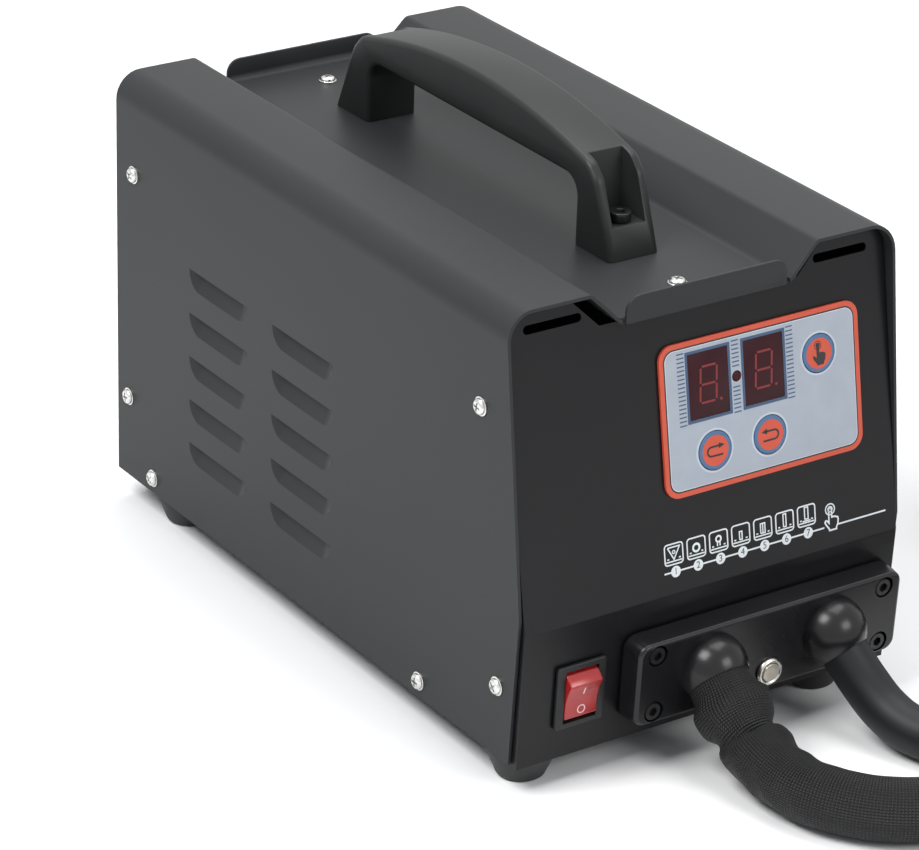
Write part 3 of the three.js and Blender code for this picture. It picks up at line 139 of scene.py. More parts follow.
def select_only(piece):
    clear_selection()
    piece.select_set(True)
    bpy.context.view_layer.objects.active = piece


def begin_edit(piece, whole=False):
    select_only(piece)
    bpy.ops.object.mode_set(mode="EDIT")
    bpy.ops.mesh.select_mode(type="VERT")
    if whole:
        bpy.ops.mesh.select_all(action="SELECT")


def end_edit():
    bpy.ops.object.mode_set(mode="OBJECT")


def pick_faces(piece, test):
    """Selects the faces whose normal passes the test."""
    bpy.ops.mesh.select_all(action="DESELECT")
    bpy.ops.mesh.select_mode(type="FACE")
    shape = bmesh.from_edit_mesh(piece.data)
    shape.normal_update()
    for face in shape.faces:
        if test(face.normal):
            face.select_set(True)
    shape.select_flush_mode()
    bmesh.update_edit_mesh(piece.data)


# %% Name, join, cut, round and place
def named(name):
    piece = bpy.context.active_object
    piece.name = name
    piece.data.name = name
    return piece


def apply_modifier(piece, kind, **settings):
    select_only(piece)
    modifier = piece.modifiers.new(kind.lower(), kind)
    for setting, value in settings.items():
        setattr(modifier, setting, value)
    bpy.ops.object.modifier_apply(modifier=modifier.name)


def round_edges(piece, width, segments=3, angle=30):
    apply_modifier(
        piece, "BEVEL", width=width * MM, segments=segments,
        limit_method="ANGLE", angle_limit=math.radians(angle), harden_normals=False,
    )


def combine(piece, tools, operation):
    for tool in tools:
        apply_modifier(piece, "BOOLEAN", operation=operation, object=tool, solver="EXACT")
        bpy.data.objects.remove(tool)


def cut_away(piece, *tools):
    combine(piece, tools, "DIFFERENCE")


def grow_by(piece, *tools):
    combine(piece, tools, "UNION")


def join(piece, *others):
    select_only(piece)
    for other in others:
        other.select_set(True)
    bpy.ops.object.join()
    return piece


def put(piece, place):
    """Moves a finished shape to its place and writes that place into its mesh."""
    piece.matrix_world = place @ piece.matrix_world
    select_only(piece)
    bpy.ops.object.transform_apply(location=True, rotation=True, scale=True)
    return piece


def faces_outward(piece, weld=1e-6):
    begin_edit(piece, whole=True)
    bpy.ops.mesh.remove_doubles(threshold=weld)
    bpy.ops.mesh.normals_make_consistent(inside=False)
    end_edit()

# %% Trace an outline and give it a depth
def draw_line(name, points):
    """Extrudes a single vertex from point to point. The line stays selected in edit mode."""
    clear_selection()
    bpy.ops.mesh.primitive_plane_add(size=1)
    piece = named(name)
    begin_edit(piece)
    bpy.ops.mesh.merge(type="CENTER")
    bpy.ops.transform.translate(value=mm(*points[0]))
    for before, after in zip(points, points[1:]):
        step = mm(*[b - a for a, b in zip(before, after)])
        bpy.ops.mesh.extrude_region_move(TRANSFORM_OT_translate={"value": step})
    bpy.ops.mesh.select_all(action="SELECT")
    return piece


def trace(name, points):
    """Draws a closed outline and fills it."""
    piece = draw_line(name, [(x, y, 0) for x, y in points])
    bpy.ops.mesh.edge_face_add()
    end_edit()
    return piece


def deepen(piece, low, high):
    """Turns a flat outline into a solid between two heights, in millimetres."""
    begin_edit(piece, whole=True)
    bpy.ops.transform.translate(value=mm(0, 0, low))
    bpy.ops.mesh.extrude_region_move(TRANSFORM_OT_translate={"value": mm(0, 0, high - low)})
    bpy.ops.mesh.select_all(action="SELECT")
    bpy.ops.mesh.normals_make_consistent(inside=False)
    end_edit()
    return piece


def arc(x, y, radius, start, sweep, steps):
    """Points round (x, y), with the angles in degrees."""
    angles = [math.radians(start + sweep * k / steps) for k in range(steps + 1)]
    return [(x + radius * math.cos(angle), y + radius * math.sin(angle)) for angle in angles]


def rounded_rectangle(width, height, radius, x=0, y=0, steps=6):
    """The outline's points, anticlockwise, with each corner an arc."""
    points = []
    for corner, (sx, sy) in enumerate([(1, -1), (1, 1), (-1, 1), (-1, -1)]):
        cx, cy = x + sx * (width / 2 - radius), y + sy * (height / 2 - radius)
        points += arc(cx, cy, radius, 90 * (corner - 1), 90, steps)
    return points


def slab(name, points, low, high):
    return deepen(trace(name, points), low, high)

# %% Add and wire the nodes of a material or of the world
def add_node(owner, kind, **values):
    node = owner.node_tree.nodes.new(kind)
    for name, value in values.items():
        if name in node.inputs:
            node.inputs[name].default_value = value
        else:
            setattr(node, name, value)
    return node


def wire(owner, source, target):
    owner.node_tree.links.new(source, target)


def reckon(owner, operation, *values):
    """A math node's result. A number is set on its socket, and an output is wired to it."""
    node = add_node(owner, "ShaderNodeMath", operation=operation)
    for socket, value in zip(node.inputs, values):
        if isinstance(value, (int, float)):
            socket.default_value = value
        else:
            wire(owner, value, socket)
    return node.outputs[0]

# %% The two leaning planes of the front
KNEE = mm(0, -163.1436, 78)


def leaning_plane(tilt_degrees):
    """X across, Y up the plane and Z out of it, with its zero at the knee."""
    return Matrix.Translation(KNEE) @ Matrix.Rotation(math.radians(tilt_degrees), 4, "X")


upper_plane = leaning_plane(90 - 10.53)
lower_plane = leaning_plane(90 + 2.36)
print("knee height", round(KNEE.z, 4))

# %% [markdown]
# ## Floor and light
#
# The photograph is a studio shot on white. A pale floor and a white world give that background,
# and the floor still catches the machine's own soft shadow. Broad lamps are used because black
# plastic and dark paint show their shape only by what they reflect.

# %% Pale floor, white world and three soft lamps
bpy.context.scene.view_settings.view_transform = "Standard"
clear_selection()
bpy.ops.mesh.primitive_plane_add(size=12, location=(0, 0, -0.0005))
floor = named("floor")
floor_paint = bpy.data.materials.new("floor_paint")
floor_paint.use_nodes = True
floor_nodes = floor_paint.node_tree.nodes
floor_nodes["Principled BSDF"].inputs["Base Color"].default_value = (0.93, 0.93, 0.93, 1)
floor_nodes["Principled BSDF"].inputs["Roughness"].default_value = 0.9
floor.data.materials.append(floor_paint)

world = bpy.data.worlds.new("studio")
bpy.context.scene.world = world
world.use_nodes = True
room = world.node_tree.nodes["Background"]
room.inputs["Color"].default_value = (0.92, 0.95, 1.0, 1)
room.inputs["Strength"].default_value = 0.34
backdrop = add_node(world, "ShaderNodeBackground", Color=(1, 1, 1, 1))
sight = add_node(world, "ShaderNodeLightPath")
choice = add_node(world, "ShaderNodeMixShader")
mirrored = reckon(
    world, "MAXIMUM", sight.outputs["Is Glossy Ray"], sight.outputs["Is Transmission Ray"],
)
seen = reckon(world, "MAXIMUM", sight.outputs["Is Camera Ray"], mirrored)
wire(world, seen, choice.inputs["Fac"])
wire(world, room.outputs[0], choice.inputs[1])
wire(world, backdrop.outputs[0], choice.inputs[2])
wire(world, choice.outputs[0], world.node_tree.nodes["World Output"].inputs["Surface"])


def soft_lamp(name, place, size, power):
    data = bpy.data.lights.new(name, "AREA")
    data.shape = "RECTANGLE"
    data.size, data.size_y = size
    data.energy = power
    lamp = new_piece(name, data)
    lamp.location = place
    lamp.rotation_euler = (LAMP_AIM - Vector(place)).to_track_quat("-Z", "Y").to_euler()


LAMP_AIM = Vector((0, 0, 0.1))
soft_lamp("key_lamp", (-1.3, -0.1, 2.0), (1.2, 1.0), 46)
soft_lamp("top_lamp", (0.5, 0.3, 2.2), (1.6, 1.6), 34)
soft_lamp("front_lamp", (0.7, -2.2, 1.5), (1.2, 0.9), 22)

# %% [markdown]
# ## How a finish is built
#
# No real surface is one flat colour. Each finish starts from a plain shader. A slow noise drifts
# its colour and its gloss, as handling and moulding do, and a fine noise raises a grain at the
# size that the real surface has. The patterns are placed in metres on the object, so that they
# keep their size on a small piece and on a large one.

# %% Build a finish from a colour, a gloss and a grain
def plain_finish(name, colour, gloss, metal=0.0):
    material = bpy.data.materials.new(name)
    material.use_nodes = True
    shader = material.node_tree.nodes["Principled BSDF"]
    shader.inputs["Base Color"].default_value = (*colour, 1)
    shader.inputs["Roughness"].default_value = gloss
    shader.inputs["Metallic"].default_value = metal
    return material, shader


def blend(material, shader, source, stops):
    """Two colours, each from its own share of the source on."""
    ramp = add_node(material, "ShaderNodeValToRGB")
    for element, (position, colour) in zip(ramp.color_ramp.elements, stops):
        element.position = position
        element.color = (*colour, 1)
    wire(material, source, ramp.inputs["Fac"])
    wire(material, ramp.outputs["Color"], shader.inputs["Base Color"])


def raise_by(material, shader, height, strength, distance):
    bump = add_node(material, "ShaderNodeBump", Strength=strength, Distance=distance)
    wire(material, height, bump.inputs["Height"])
    wire(material, bump.outputs["Normal"], shader.inputs["Normal"])


def drift(material, shader, colour, other, size, rough_low, rough_high):
    """A slow change of colour and of gloss; size is the width of a patch in millimetres."""
    place = add_node(material, "ShaderNodeTexCoord")
    cloud = add_node(material, "ShaderNodeTexNoise", Scale=1000 / size, Detail=4.0)
    wire(material, place.outputs["Object"], cloud.inputs["Vector"])
    blend(material, shader, cloud.outputs["Fac"], [(0.3, colour), (0.7, other)])
    spread = add_node(material, "ShaderNodeMapRange")
    spread.inputs["To Min"].default_value = rough_low
    spread.inputs["To Max"].default_value = rough_high
    wire(material, cloud.outputs["Fac"], spread.inputs["Value"])
    wire(material, spread.outputs["Result"], shader.inputs["Roughness"])
    return place


def grain(material, shader, place, size, depth, strength=0.5):
    """A fine raised grain; size and depth are in millimetres."""
    speck = add_node(material, "ShaderNodeTexNoise", Scale=1000 / size, Detail=3.0)
    wire(material, place.outputs["Object"], speck.inputs["Vector"])
    raise_by(material, shader, speck.outputs["Fac"], strength, depth / 1000)


def surface(name, colour, other, patch, rough_low, rough_high, grain_size, grain_depth,
            metal=0.0, strength=0.5, shine=0.5):
    material, shader = plain_finish(name, colour, rough_low, metal)
    shader.inputs["Specular IOR Level"].default_value = shine
    place = drift(material, shader, colour, other, patch, rough_low, rough_high)
    grain(material, shader, place, grain_size, grain_depth, strength)
    return material

# %% Hand a finished piece over to the model
def dress(piece, body, slot, material, *nodes, smooth=30, even=False):
    piece.data.materials.clear()
    piece.data.materials.append(material)
    if smooth:
        select_only(piece)
        bpy.ops.object.shade_smooth_by_angle(angle=math.radians(smooth))
    if even:
        apply_modifier(piece, "WEIGHTED_NORMAL", keep_sharp=True)
    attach(piece, body)
    if nodes:
        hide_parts(*nodes)
    return piece

# %% [markdown]
# ## The two welding cables
#
# Each cable leaves its hood at a slant, bends down to the floor and turns away to the right, out
# of the picture, where its spare length lies in a coil. A cable has one fixed length, so the
# whole of it is one line of points: the part that shows was placed over the photograph, and the
# coil comes from a loop. A tube is then drawn round that line, ring by ring.

# %% Lines of the two cables, in millimetres
GUN_CABLE_RADIUS = 14
EARTH_CABLE_RADIUS = 11
COIL_STEPS = 24
COIL_CLEAR = 2.6
LEAD_END = 0.3
TAIL_RADIUS = 60

gun_route = [
    (-8, -174.8, 42.9), (-8, -185.5, 33.9), (-8, -196.4, 25.6), (-8, -208.4, 19.3),
    (-7.6, -222, 15.6), (-5.9, -237, 14.1), (-2, -248.5, 14), (4.5, -259.5, 14),
    (14, -269.5, 14), (26, -277.3, 14), (40, -282.3, 14), (54.5, -284, 14), (80, -284, 14),
    (110, -284, 14), (150, -284, 14), (190, -284, 14), (230, -284, 14), (270, -284, 14),
    (298, -284, 14), (328, -284, 14),
]
earth_route = [
    (58.2, -174.7, 42.8), (60.9, -184.2, 32.9), (63.3, -194.2, 24), (65.3, -204.5, 17.1),
    (67.8, -215.6, 13), (72.3, -227, 11.2), (79.5, -237.5, 11), (89.5, -246.3, 11.4),
    (101.5, -253, 11), (115, -256.5, 11), (130, -257.5, 11), (150, -257.5, 11),
    (171, -257.5, 11.5), (193, -257.5, 14), (216, -257.7, 18), (238, -260, 24.2),
    (262, -263, 30.4), (288, -266.5, 35.8), (312, -269.5, 38.2), (334, -270, 38.2),
]


def wind_coil(start, cable_radius, radius, turns, tail_turn):
    """A flat spiral that winds inwards, then bends in towards the tool at the cable's end."""
    lead = 2 * cable_radius
    x, y, z = start[0] + LEAD_END + lead, start[1] + radius, start[2]
    pitch = lead + COIL_CLEAR
    steps = round(turns * COIL_STEPS)
    points = []
    for k in range(steps + 1):
        reach = radius - pitch * k / COIL_STEPS
        last = 2 * math.pi * k / COIL_STEPS - math.pi / 2
        points.append((x + reach * math.cos(last), y + reach * math.sin(last), z))
    cx = x + (reach - TAIL_RADIUS) * math.cos(last)
    cy = y + (reach - TAIL_RADIUS) * math.sin(last)
    bends = math.ceil(tail_turn / (360 / COIL_STEPS))
    for k in range(1, bends + 1):
        angle = last + math.radians(tail_turn) * k / bends
        points.append((cx + TAIL_RADIUS * math.cos(angle), cy + TAIL_RADIUS * math.sin(angle), z))
    ex, ey, _ = points[-1]
    points.append((ex - lead * math.sin(angle), ey + lead * math.cos(angle), z))
    return points


gun_line = gun_route + wind_coil(gun_route[-1], GUN_CABLE_RADIUS, 155, 0.92, 105)
earth_line = earth_route + wind_coil(earth_route[-1], EARTH_CABLE_RADIUS, 141, 0.75, 15)
print("points:", len(gun_line), "and", len(earth_line))

# %% A smooth path through the points, and its length
def between(near, far, start, end, now):
    return near.lerp(far, (now - start) / (end - start))


def smooth_path(points, parts=8):
    """A Catmull-Rom curve in metres. Its time grows by the root of each gap, against kinks."""
    ends = [Vector(p) for p in points]
    ends = [2 * ends[0] - ends[1], *ends, 2 * ends[-1] - ends[-2]]
    path = []
    for four in zip(ends, ends[1:], ends[2:], ends[3:]):
        times = [0.0]
        for near, far in zip(four, four[1:]):
            times.append(times[-1] + math.sqrt((far - near).length))
        for k in range(parts):
            now = times[1] + (times[2] - times[1]) * k / parts
            spots = list(four)
            for gap in (1, 2):
                spots = [
                    between(spots[i], spots[i + 1], times[i], times[i + gap], now)
                    for i in range(len(spots) - 1)
                ]
            path.append(MM * between(*spots, times[1], times[2], now))
    path.append(ends[-2] * MM)
    return path


def path_length(path):
    return sum((b - a).length for a, b in zip(path, path[1:]))


gun_path = smooth_path(gun_line)
earth_path = smooth_path(earth_line)
print("cable lengths in metres:", [round(path_length(path), 3) for path in (gun_path, earth_path)])

# %% Draw a tube round a path
def cable(name, path, sides, reach):
    """Rings carried along the path without twist. reach(s, turn) gives the radius in metres."""
    headings = []
    for k, point in enumerate(path):
        before, after = path[max(k - 1, 0)], path[min(k + 1, len(path) - 1)]
        headings.append((after - before).normalized())
    across = headings[0].orthogonal().normalized()
    run, corners, places = 0.0, [], []
    for k, (point, heading) in enumerate(zip(path, headings)):
        if k:
            across = (headings[k - 1].rotation_difference(heading) @ across).normalized()
            run += (point - path[k - 1]).length
        other = heading.cross(across)
        for j in range(sides):
            turn = 2 * math.pi * j / sides
            radius = reach(run, turn)
            corners.append(point + radius * (math.cos(turn) * across + math.sin(turn) * other))
        places.append(run)
    faces = [tuple(range(sides))[::-1]]
    for k in range(len(path) - 1):
        for j in range(sides):
            n = (j + 1) % sides
            faces.append((k * sides + j, k * sides + n, (k + 1) * sides + n, (k + 1) * sides + j))
    faces.append(tuple((len(path) - 1) * sides + j for j in range(sides)))
    piece = built(name, corners, faces)
    wrap_cloth(piece.data, places, sides)
    return piece


def wrap_cloth(mesh, places, sides):
    """A map with metres along the cable in U and turns round it in V, for the weave to follow."""
    layer = mesh.uv_layers.new(name="along_cable")
    for face in mesh.polygons:
        if len(face.loop_indices) != 4:
            continue
        indices = [mesh.loops[i].vertex_index for i in face.loop_indices]
        first = min(i % sides for i in indices)
        for i, corner in zip(face.loop_indices, indices):
            j = corner % sides
            if first == 0 and j == sides - 1:
                j = -1 if min(i % sides for i in indices) == 0 else j
            layer.data[i].uv = (places[corner // sides], j / sides)

# %% [markdown]
# ## Woven sleeve and rubber
#
# The gun's cable wears a braided nylon sleeve. Where it leaves the hood the loose braid has slid
# back into a fat fold, with a dark crease under it. The fold belongs in the shape, and the braid
# is far too fine to model, so two sets of diagonal ribs cross in a bump pattern that follows the
# map along the cable. The same pattern sets the sleeve's colour: lighter on the raised crossings
# as a painted highlight, and near black between them as painted shade. The earth cable is smooth
# black rubber with a soft sheen.

# %% The braid's pattern
def braid(name):
    material, shader = plain_finish(name, (0.012, 0.012, 0.013), 0.5)
    shader.inputs["Specular IOR Level"].default_value = 0.3
    spot = add_node(material, "ShaderNodeUVMap", uv_map="along_cable")
    ribs = []
    for lean in (-1, 1):
        turned = add_node(material, "ShaderNodeMapping")
        turned.inputs["Scale"].default_value = (1000 / 2.6, 34, 1)
        wire(material, spot.outputs["UV"], turned.inputs["Vector"])
        parts = add_node(material, "ShaderNodeSeparateXYZ")
        wire(material, turned.outputs["Vector"], parts.inputs["Vector"])
        slant = reckon(material, "MULTIPLY_ADD", parts.outputs["Y"], lean, parts.outputs["X"])
        angle = reckon(material, "MULTIPLY", slant, 2 * math.pi)
        ribs.append(reckon(material, "SINE", angle))
    weave = reckon(material, "MULTIPLY", *ribs)
    # The colour follows the bump: painted highlight on the raised crossings, painted shade between
    # them.
    dark, light = (0.002, 0.002, 0.0025), (0.034, 0.035, 0.037)
    blend(material, shader, weave, [(0.35, dark), (1.0, light)])
    raise_by(material, shader, weave, 0.8, 0.0005)
    return material


sleeve_braid = braid("sleeve_braid")
cable_rubber = surface(
    "cable_rubber", (0.007, 0.0075, 0.009), (0.011, 0.0115, 0.013), 40, 0.42, 0.52, 0.8, 0.05,
    shine=0.28,
)
print("finishes:", sleeve_braid.name, cable_rubber.name)

# %% The gun's cable in its bunched sleeve
def bump_up(s, middle, width):
    return math.exp(-((s - middle * MM) / (width * MM)) ** 2)


def sleeve_reach(s, turn):
    """The sleeve's radius: a fat fold out of the hood, a crease, and a slack second fold."""
    slant = 5 * MM * math.cos(turn - 0.8)
    fold = 3.8 * bump_up(s, 20, 8.5) - 2.6 * bump_up(s + slant, 33, 2.6) + 1.4 * bump_up(s, 43, 9)
    slack = 0.45 * math.sin(3 * turn + 260 * s) + 0.3 * math.sin(5 * turn - 410 * s)
    loose = min(1, max(0, (s - 9 * MM) / (8 * MM)))
    fading = 1 / (1 + math.exp((s - 75 * MM) / (12 * MM)))
    return (GUN_CABLE_RADIUS + loose * (fold + slack * fading)) * MM


gun_cable = cable("gun_cable", gun_path, 40, sleeve_reach)
dress(gun_cable, "machine", "sleeve", sleeve_braid, "gun_lead", "gun_coil", smooth=60)
earth_cable = cable("earth_cable", earth_path, 32, lambda s, turn: EARTH_CABLE_RADIUS * MM)
dress(earth_cable, "machine", "lead_rubber", cable_rubber, "earth_lead", "earth_coil", smooth=60)
print("cable faces:", len(gun_cable.data.polygons), len(earth_cable.data.polygons))

# %% [markdown]
# ## The folded steel cover
#
# The cover is one sheet of steel, folded down both sides and pressed into a valley along the top
# for the handle. A box with pieces stuck on it would miss the soft folds, so the sheet is drawn
# as a line seen from the front, with an arc at every fold. The line is extruded along the case,
# with a second line inside it for the thickness, and the leaning front is then cut away.

# %% The sheet's line with its folds
HALF_WIDTH = 102.5
CASE_FLOOR = 14
CASE_TOP = 219
TRAY_TOP = 204
CASE_REAR = 180.06
SHEET = 1.5


def folded_line(corners, steps=8):
    """Points along a line of (x, y, radius) corners, each turned into an arc."""
    points = []
    for k, (x, y, radius) in enumerate(corners):
        at = Vector((x, y))
        if not radius or k in (0, len(corners) - 1):
            points.append((x, y))
            continue
        back = (Vector(corners[k - 1][:2]) - at).normalized()
        on = (Vector(corners[k + 1][:2]) - at).normalized()
        half = back.angle(on) / 2
        middle = at + (back + on).normalized() * radius / math.sin(half)
        start, end = at + back * radius / math.tan(half), at + on * radius / math.tan(half)
        for j in range(steps + 1):
            way = (start - middle).slerp(end - middle, j / steps)
            points.append(tuple(middle + way.normalized() * radius))
    return points


def inner_line(corners, sheet):
    """The corners of the same line on the sheet's inner face, which lies to its right."""
    moved = []
    for k, (x, y, radius) in enumerate(corners):
        at = Vector((x, y))
        back = (at - Vector(corners[max(k - 1, 0)][:2])).normalized()
        on = (Vector(corners[min(k + 1, len(corners) - 1)][:2]) - at).normalized()
        back, on = (back or on), (on or back)
        right = Vector((back.y, -back.x)) + Vector((on.y, -on.x))
        spot = at + right * sheet / (1 + back.dot(on))
        bend = back.x * on.y - back.y * on.x
        moved.append((spot.x, spot.y, radius + math.copysign(sheet, bend) if radius else 0))
    return moved


PLATEAU_EDGE = 59.5
TRAY_EDGE = 44
left_side = [
    (-HALF_WIDTH, CASE_FLOOR, 0), (-HALF_WIDTH, CASE_TOP, 13), (-PLATEAU_EDGE, CASE_TOP, 4),
    (-TRAY_EDGE, TRAY_TOP, 5),
]
corners = left_side + [(-x, z, r) for x, z, r in reversed(left_side)]
sheet_section = folded_line(corners) + folded_line(inner_line(corners, SHEET))[::-1]
print("points round the sheet's section:", len(sheet_section))

# %% Give the sheet its length and cut the leaning front
UPRIGHT = Matrix.Rotation(math.radians(90), 4, "X")
FROM_SIDE = Matrix(((0, 0, 1, 0), (1, 0, 0, 0), (0, 1, 0, 0), (0, 0, 0, 1)))


def front_waste(reach=130):
    """The space before the two leaning planes of the front, as a solid to cut with."""
    outline = [(-230, -20), (-155.02, -20), (-160.94, 85), (-138.08, 260), (-230, 260)]
    return put(slab("front_waste", outline, -reach, reach), FROM_SIDE)


cover = put(slab("cover_shell", sheet_section, -CASE_REAR, 170), UPRIGHT)
faces_outward(cover)
cut_away(cover, front_waste())
print("cover box", [round(v, 4) for v in cover.dimensions])

# %% [markdown]
# ## The pressed louvres
#
# Five louvres in two columns let air through each side. The sheet is cut along a straight line
# and pressed inwards below it, so each louvre is a shallow pan with a rounded rim and an open
# upper side. The rim must run softly into the flat sheet. The pan is drawn as rings whose depth
# grows in a gentle curve, and an opening of the same outline is cut in the sheet before it.

# %% One louvre's pan and the cutter for its opening
LOUVRE_HALF = 16.2
LOUVRE_REACH = 9.8
LOUVRE_DEEP = 4.1


def louvre_ring(share, steps=16):
    points = []
    for k, (across, down) in enumerate(arc(0, 0, LOUVRE_REACH * share, 0, 180, steps)):
        side = LOUVRE_HALF if 2 * k < steps else -LOUVRE_HALF if 2 * k > steps else 0
        points.append((side + across, -down))
    return points


def louvre_pan():
    shares = [0, 0.2, 0.4, 0.55, 0.68, 0.78, 0.86, 0.92, 0.97, 1]
    rings = [louvre_ring(share) for share in shares]
    corners, faces, count = [], [], len(rings[0])
    for share, ring in zip(shares, rings):
        depth = LOUVRE_DEEP * (1 - share ** 1.4)
        corners += [mm(-depth, y, z) for y, z in ring]
    for k in range(len(rings) - 1):
        for j in range(count - 1):
            a = k * count + j
            faces.append((a, a + count, a + count + 1, a + 1))
    pan = built("louvre", corners, faces)
    faces_outward(pan, 1e-5)
    if sum(face.normal.x for face in pan.data.polygons) < 0:
        pan.data.flip_normals()
    apply_modifier(pan, "SOLIDIFY", thickness=1.1 * MM, offset=-1)
    return pan


LOUVRE_PITCH = 22.3
LOUVRE_LOWEST = 55.7
LOUVRE_COLUMNS = (86.06, 12.56)
LOUVRE_PLACES = [
    (side, y, LOUVRE_LOWEST + LOUVRE_PITCH * row)
    for side in (-1, 1) for y in LOUVRE_COLUMNS for row in range(5)
]
pan = louvre_pan()
opening = slab("opening", louvre_ring(1)[::-1], -6, 3)
put(opening, FROM_SIDE)


def copy_to(piece, place):
    twin = piece.copy()
    twin.data = piece.data.copy()
    bpy.context.scene.collection.objects.link(twin)
    return put(twin, place)


def side_place(side, y, z):
    turn = Matrix.Rotation(math.radians(0 if side > 0 else 180), 4, "Z")
    return place_at(side * HALF_WIDTH, y, z) @ turn


openings = [copy_to(opening, side_place(*place)) for place in LOUVRE_PLACES]
pans = [copy_to(pan, side_place(*place)) for place in LOUVRE_PLACES]
all_openings = join(openings[0], *openings[1:])
faces_outward(all_openings)
cut_away(cover, all_openings)
for spare in (opening, pan):
    bpy.data.objects.remove(spare)
print("louvres:", len(pans))

# %% [markdown]
# ## The two end lips
#
# At both ends of the valley the sheet is turned up into a lip with round corners. Small notches are
# cut in the sheet at the front lip's foot, so that the steel doesn't tear when it is folded.

# %% Turn up the lips and join the cover
LIP_TOP = 214.7
LIP_CORNER = 7
FRONT_LIP = -145.5


def lip(name, y):
    outline = [(-42.5, 202.6), (42.5, 202.6)]
    for middle, start in ((35.5, 0), (-35.5, 90)):
        outline += arc(middle, LIP_TOP - LIP_CORNER, LIP_CORNER, start, 90, 8)
    plate = slab(name, outline, -y - SHEET, -y)
    put(plate, UPRIGHT)
    round_edges(plate, 0.35, 2, 50)
    return plate


def lip_bend(name, y, way):
    """The fold at a lip's foot, drawn as a quarter round seen from the side."""
    outline = [(0, 0)]
    for k in range(7):
        angle = math.radians(90 * k / 6)
        outline.append((way * (3 - 3 * math.sin(angle)), 3 - 3 * math.cos(angle)))
    outline = outline if way > 0 else outline[::-1]
    bend = slab(name, outline, -41.5, 41.5)
    faces_outward(bend)
    return put(bend, place_at(0, y, TRAY_TOP) @ FROM_SIDE)


front_lip = lip("front_lip", FRONT_LIP)
rear_lip = lip("rear_lip", CASE_REAR - SHEET)
bends = [lip_bend("front_bend", FRONT_LIP + SHEET, 1), lip_bend("rear_bend", CASE_REAR - SHEET, -1)]
relief = [
    slab("relief", rounded_rectangle(2.4, 5, 1.1, x, FRONT_LIP + 1.2), TRAY_TOP - 4, TRAY_TOP + 1)
    for x in (-43.2, 43.2)
]
cut_away(cover, *relief)
join(cover, *pans, front_lip, rear_lip, *bends)
print("cover faces:", len(cover.data.polygons))

# %% [markdown]
# ## The finishes of the machine
#
# The cover wears a satin black powder coat with a fine skin. The panel is a deeper and glossier
# black. Screws are bright zinc, the feet are rubber, and the welding circuit inside is copper.
# Each finish gets its own colour drift, gloss and grain, because one black for everything would
# look like a toy.

# %% Paints, plastics and metals
cover_paint = surface(
    "satin_powder_coat", (0.021, 0.022, 0.023), (0.026, 0.027, 0.028), 160, 0.42, 0.50, 0.9, 0.02,
    shine=0.22,
)
panel_paint = surface(
    "panel_black", (0.006, 0.006, 0.007), (0.009, 0.009, 0.010), 90, 0.30, 0.38, 1.1, 0.03,
    shine=0.2,
)
moulded_black = surface(
    "moulded_black", (0.012, 0.013, 0.013), (0.017, 0.018, 0.018), 60, 0.36, 0.46, 0.7, 0.03,
    shine=0.28,
)
gloss_black = surface(
    "gloss_black", (0.006, 0.006, 0.007), (0.009, 0.009, 0.010), 60, 0.22, 0.30, 1.4, 0.01,
    shine=0.35,
)
screw_black = surface(
    "blackened_steel", (0.03, 0.03, 0.032), (0.05, 0.05, 0.052), 12, 0.3, 0.42, 0.4, 0.02, 0.8,
)
zinc = surface("zinc_plate", (0.62, 0.62, 0.60), (0.74, 0.74, 0.72), 6, 0.2, 0.34, 0.3, 0.02, 1.0)
foot_rubber = surface(
    "foot_rubber", (0.014, 0.014, 0.015), (0.022, 0.022, 0.023), 20, 0.55, 0.7, 0.8, 0.05,
)
stainless = surface(
    "stainless", (0.60, 0.58, 0.54), (0.70, 0.68, 0.63), 5, 0.22, 0.32, 0.25, 0.01, 1.0,
)
copper = surface(
    "copper_bar", (0.72, 0.30, 0.17), (0.80, 0.38, 0.22), 15, 0.25, 0.4, 0.5, 0.02, 1.0,
)
brass = surface("brass", (0.72, 0.52, 0.22), (0.80, 0.60, 0.28), 12, 0.22, 0.35, 0.4, 0.02, 1.0)
enamel = surface("enamel_wire", (0.42, 0.12, 0.03), (0.52, 0.17, 0.05), 9, 0.28, 0.4, 0.9, 0.1)
core_steel = surface(
    "core_steel", (0.09, 0.09, 0.10), (0.14, 0.14, 0.15), 30, 0.4, 0.55, 0.5, 0.05, 0.7,
)
aluminium = surface(
    "aluminium", (0.55, 0.56, 0.57), (0.65, 0.66, 0.67), 25, 0.3, 0.42, 0.4, 0.03, 1.0,
)
board_green = surface(
    "board_green", (0.01, 0.09, 0.04), (0.02, 0.13, 0.06), 12, 0.35, 0.5, 0.5, 0.02,
)
trigger_orange = surface(
    "trigger_orange", (0.70, 0.10, 0.03), (0.78, 0.14, 0.04), 20, 0.35, 0.45, 0.6, 0.03,
)
print("finishes:", len(bpy.data.materials))

# %% Give a solid that keeps its own shape its finish
def finish_solids(material, *nodes):
    for node in nodes:
        solid = bpy.data.objects[node]
        solid.data.materials.clear()
        solid.data.materials.append(material)


finish_solids(moulded_black, "fan_rotor", "power_module")
finish_solids(copper, "gun_bar", "earth_bar", "secondary_winding")
finish_solids(enamel, "primary_winding")
finish_solids(core_steel, "transformer_core")
finish_solids(aluminium, "heat_sink")
finish_solids(board_green, "display_board")
dress(cover, "machine", "cover_paint", cover_paint, "top_cover")

# %% [markdown]
# ## The carrying handle
#
# The handle is one black moulding: two legs that splay at the foot and a bar that rises in a long
# arc. It is drawn from the side, extruded across, and its long edges are rounded. Each leg is
# hollow at its outer end, where a bolt goes down into the valley, so a pocket is cut there. Its
# floor lies a little lower than the solid's, and the bolts are lowered with it further on.

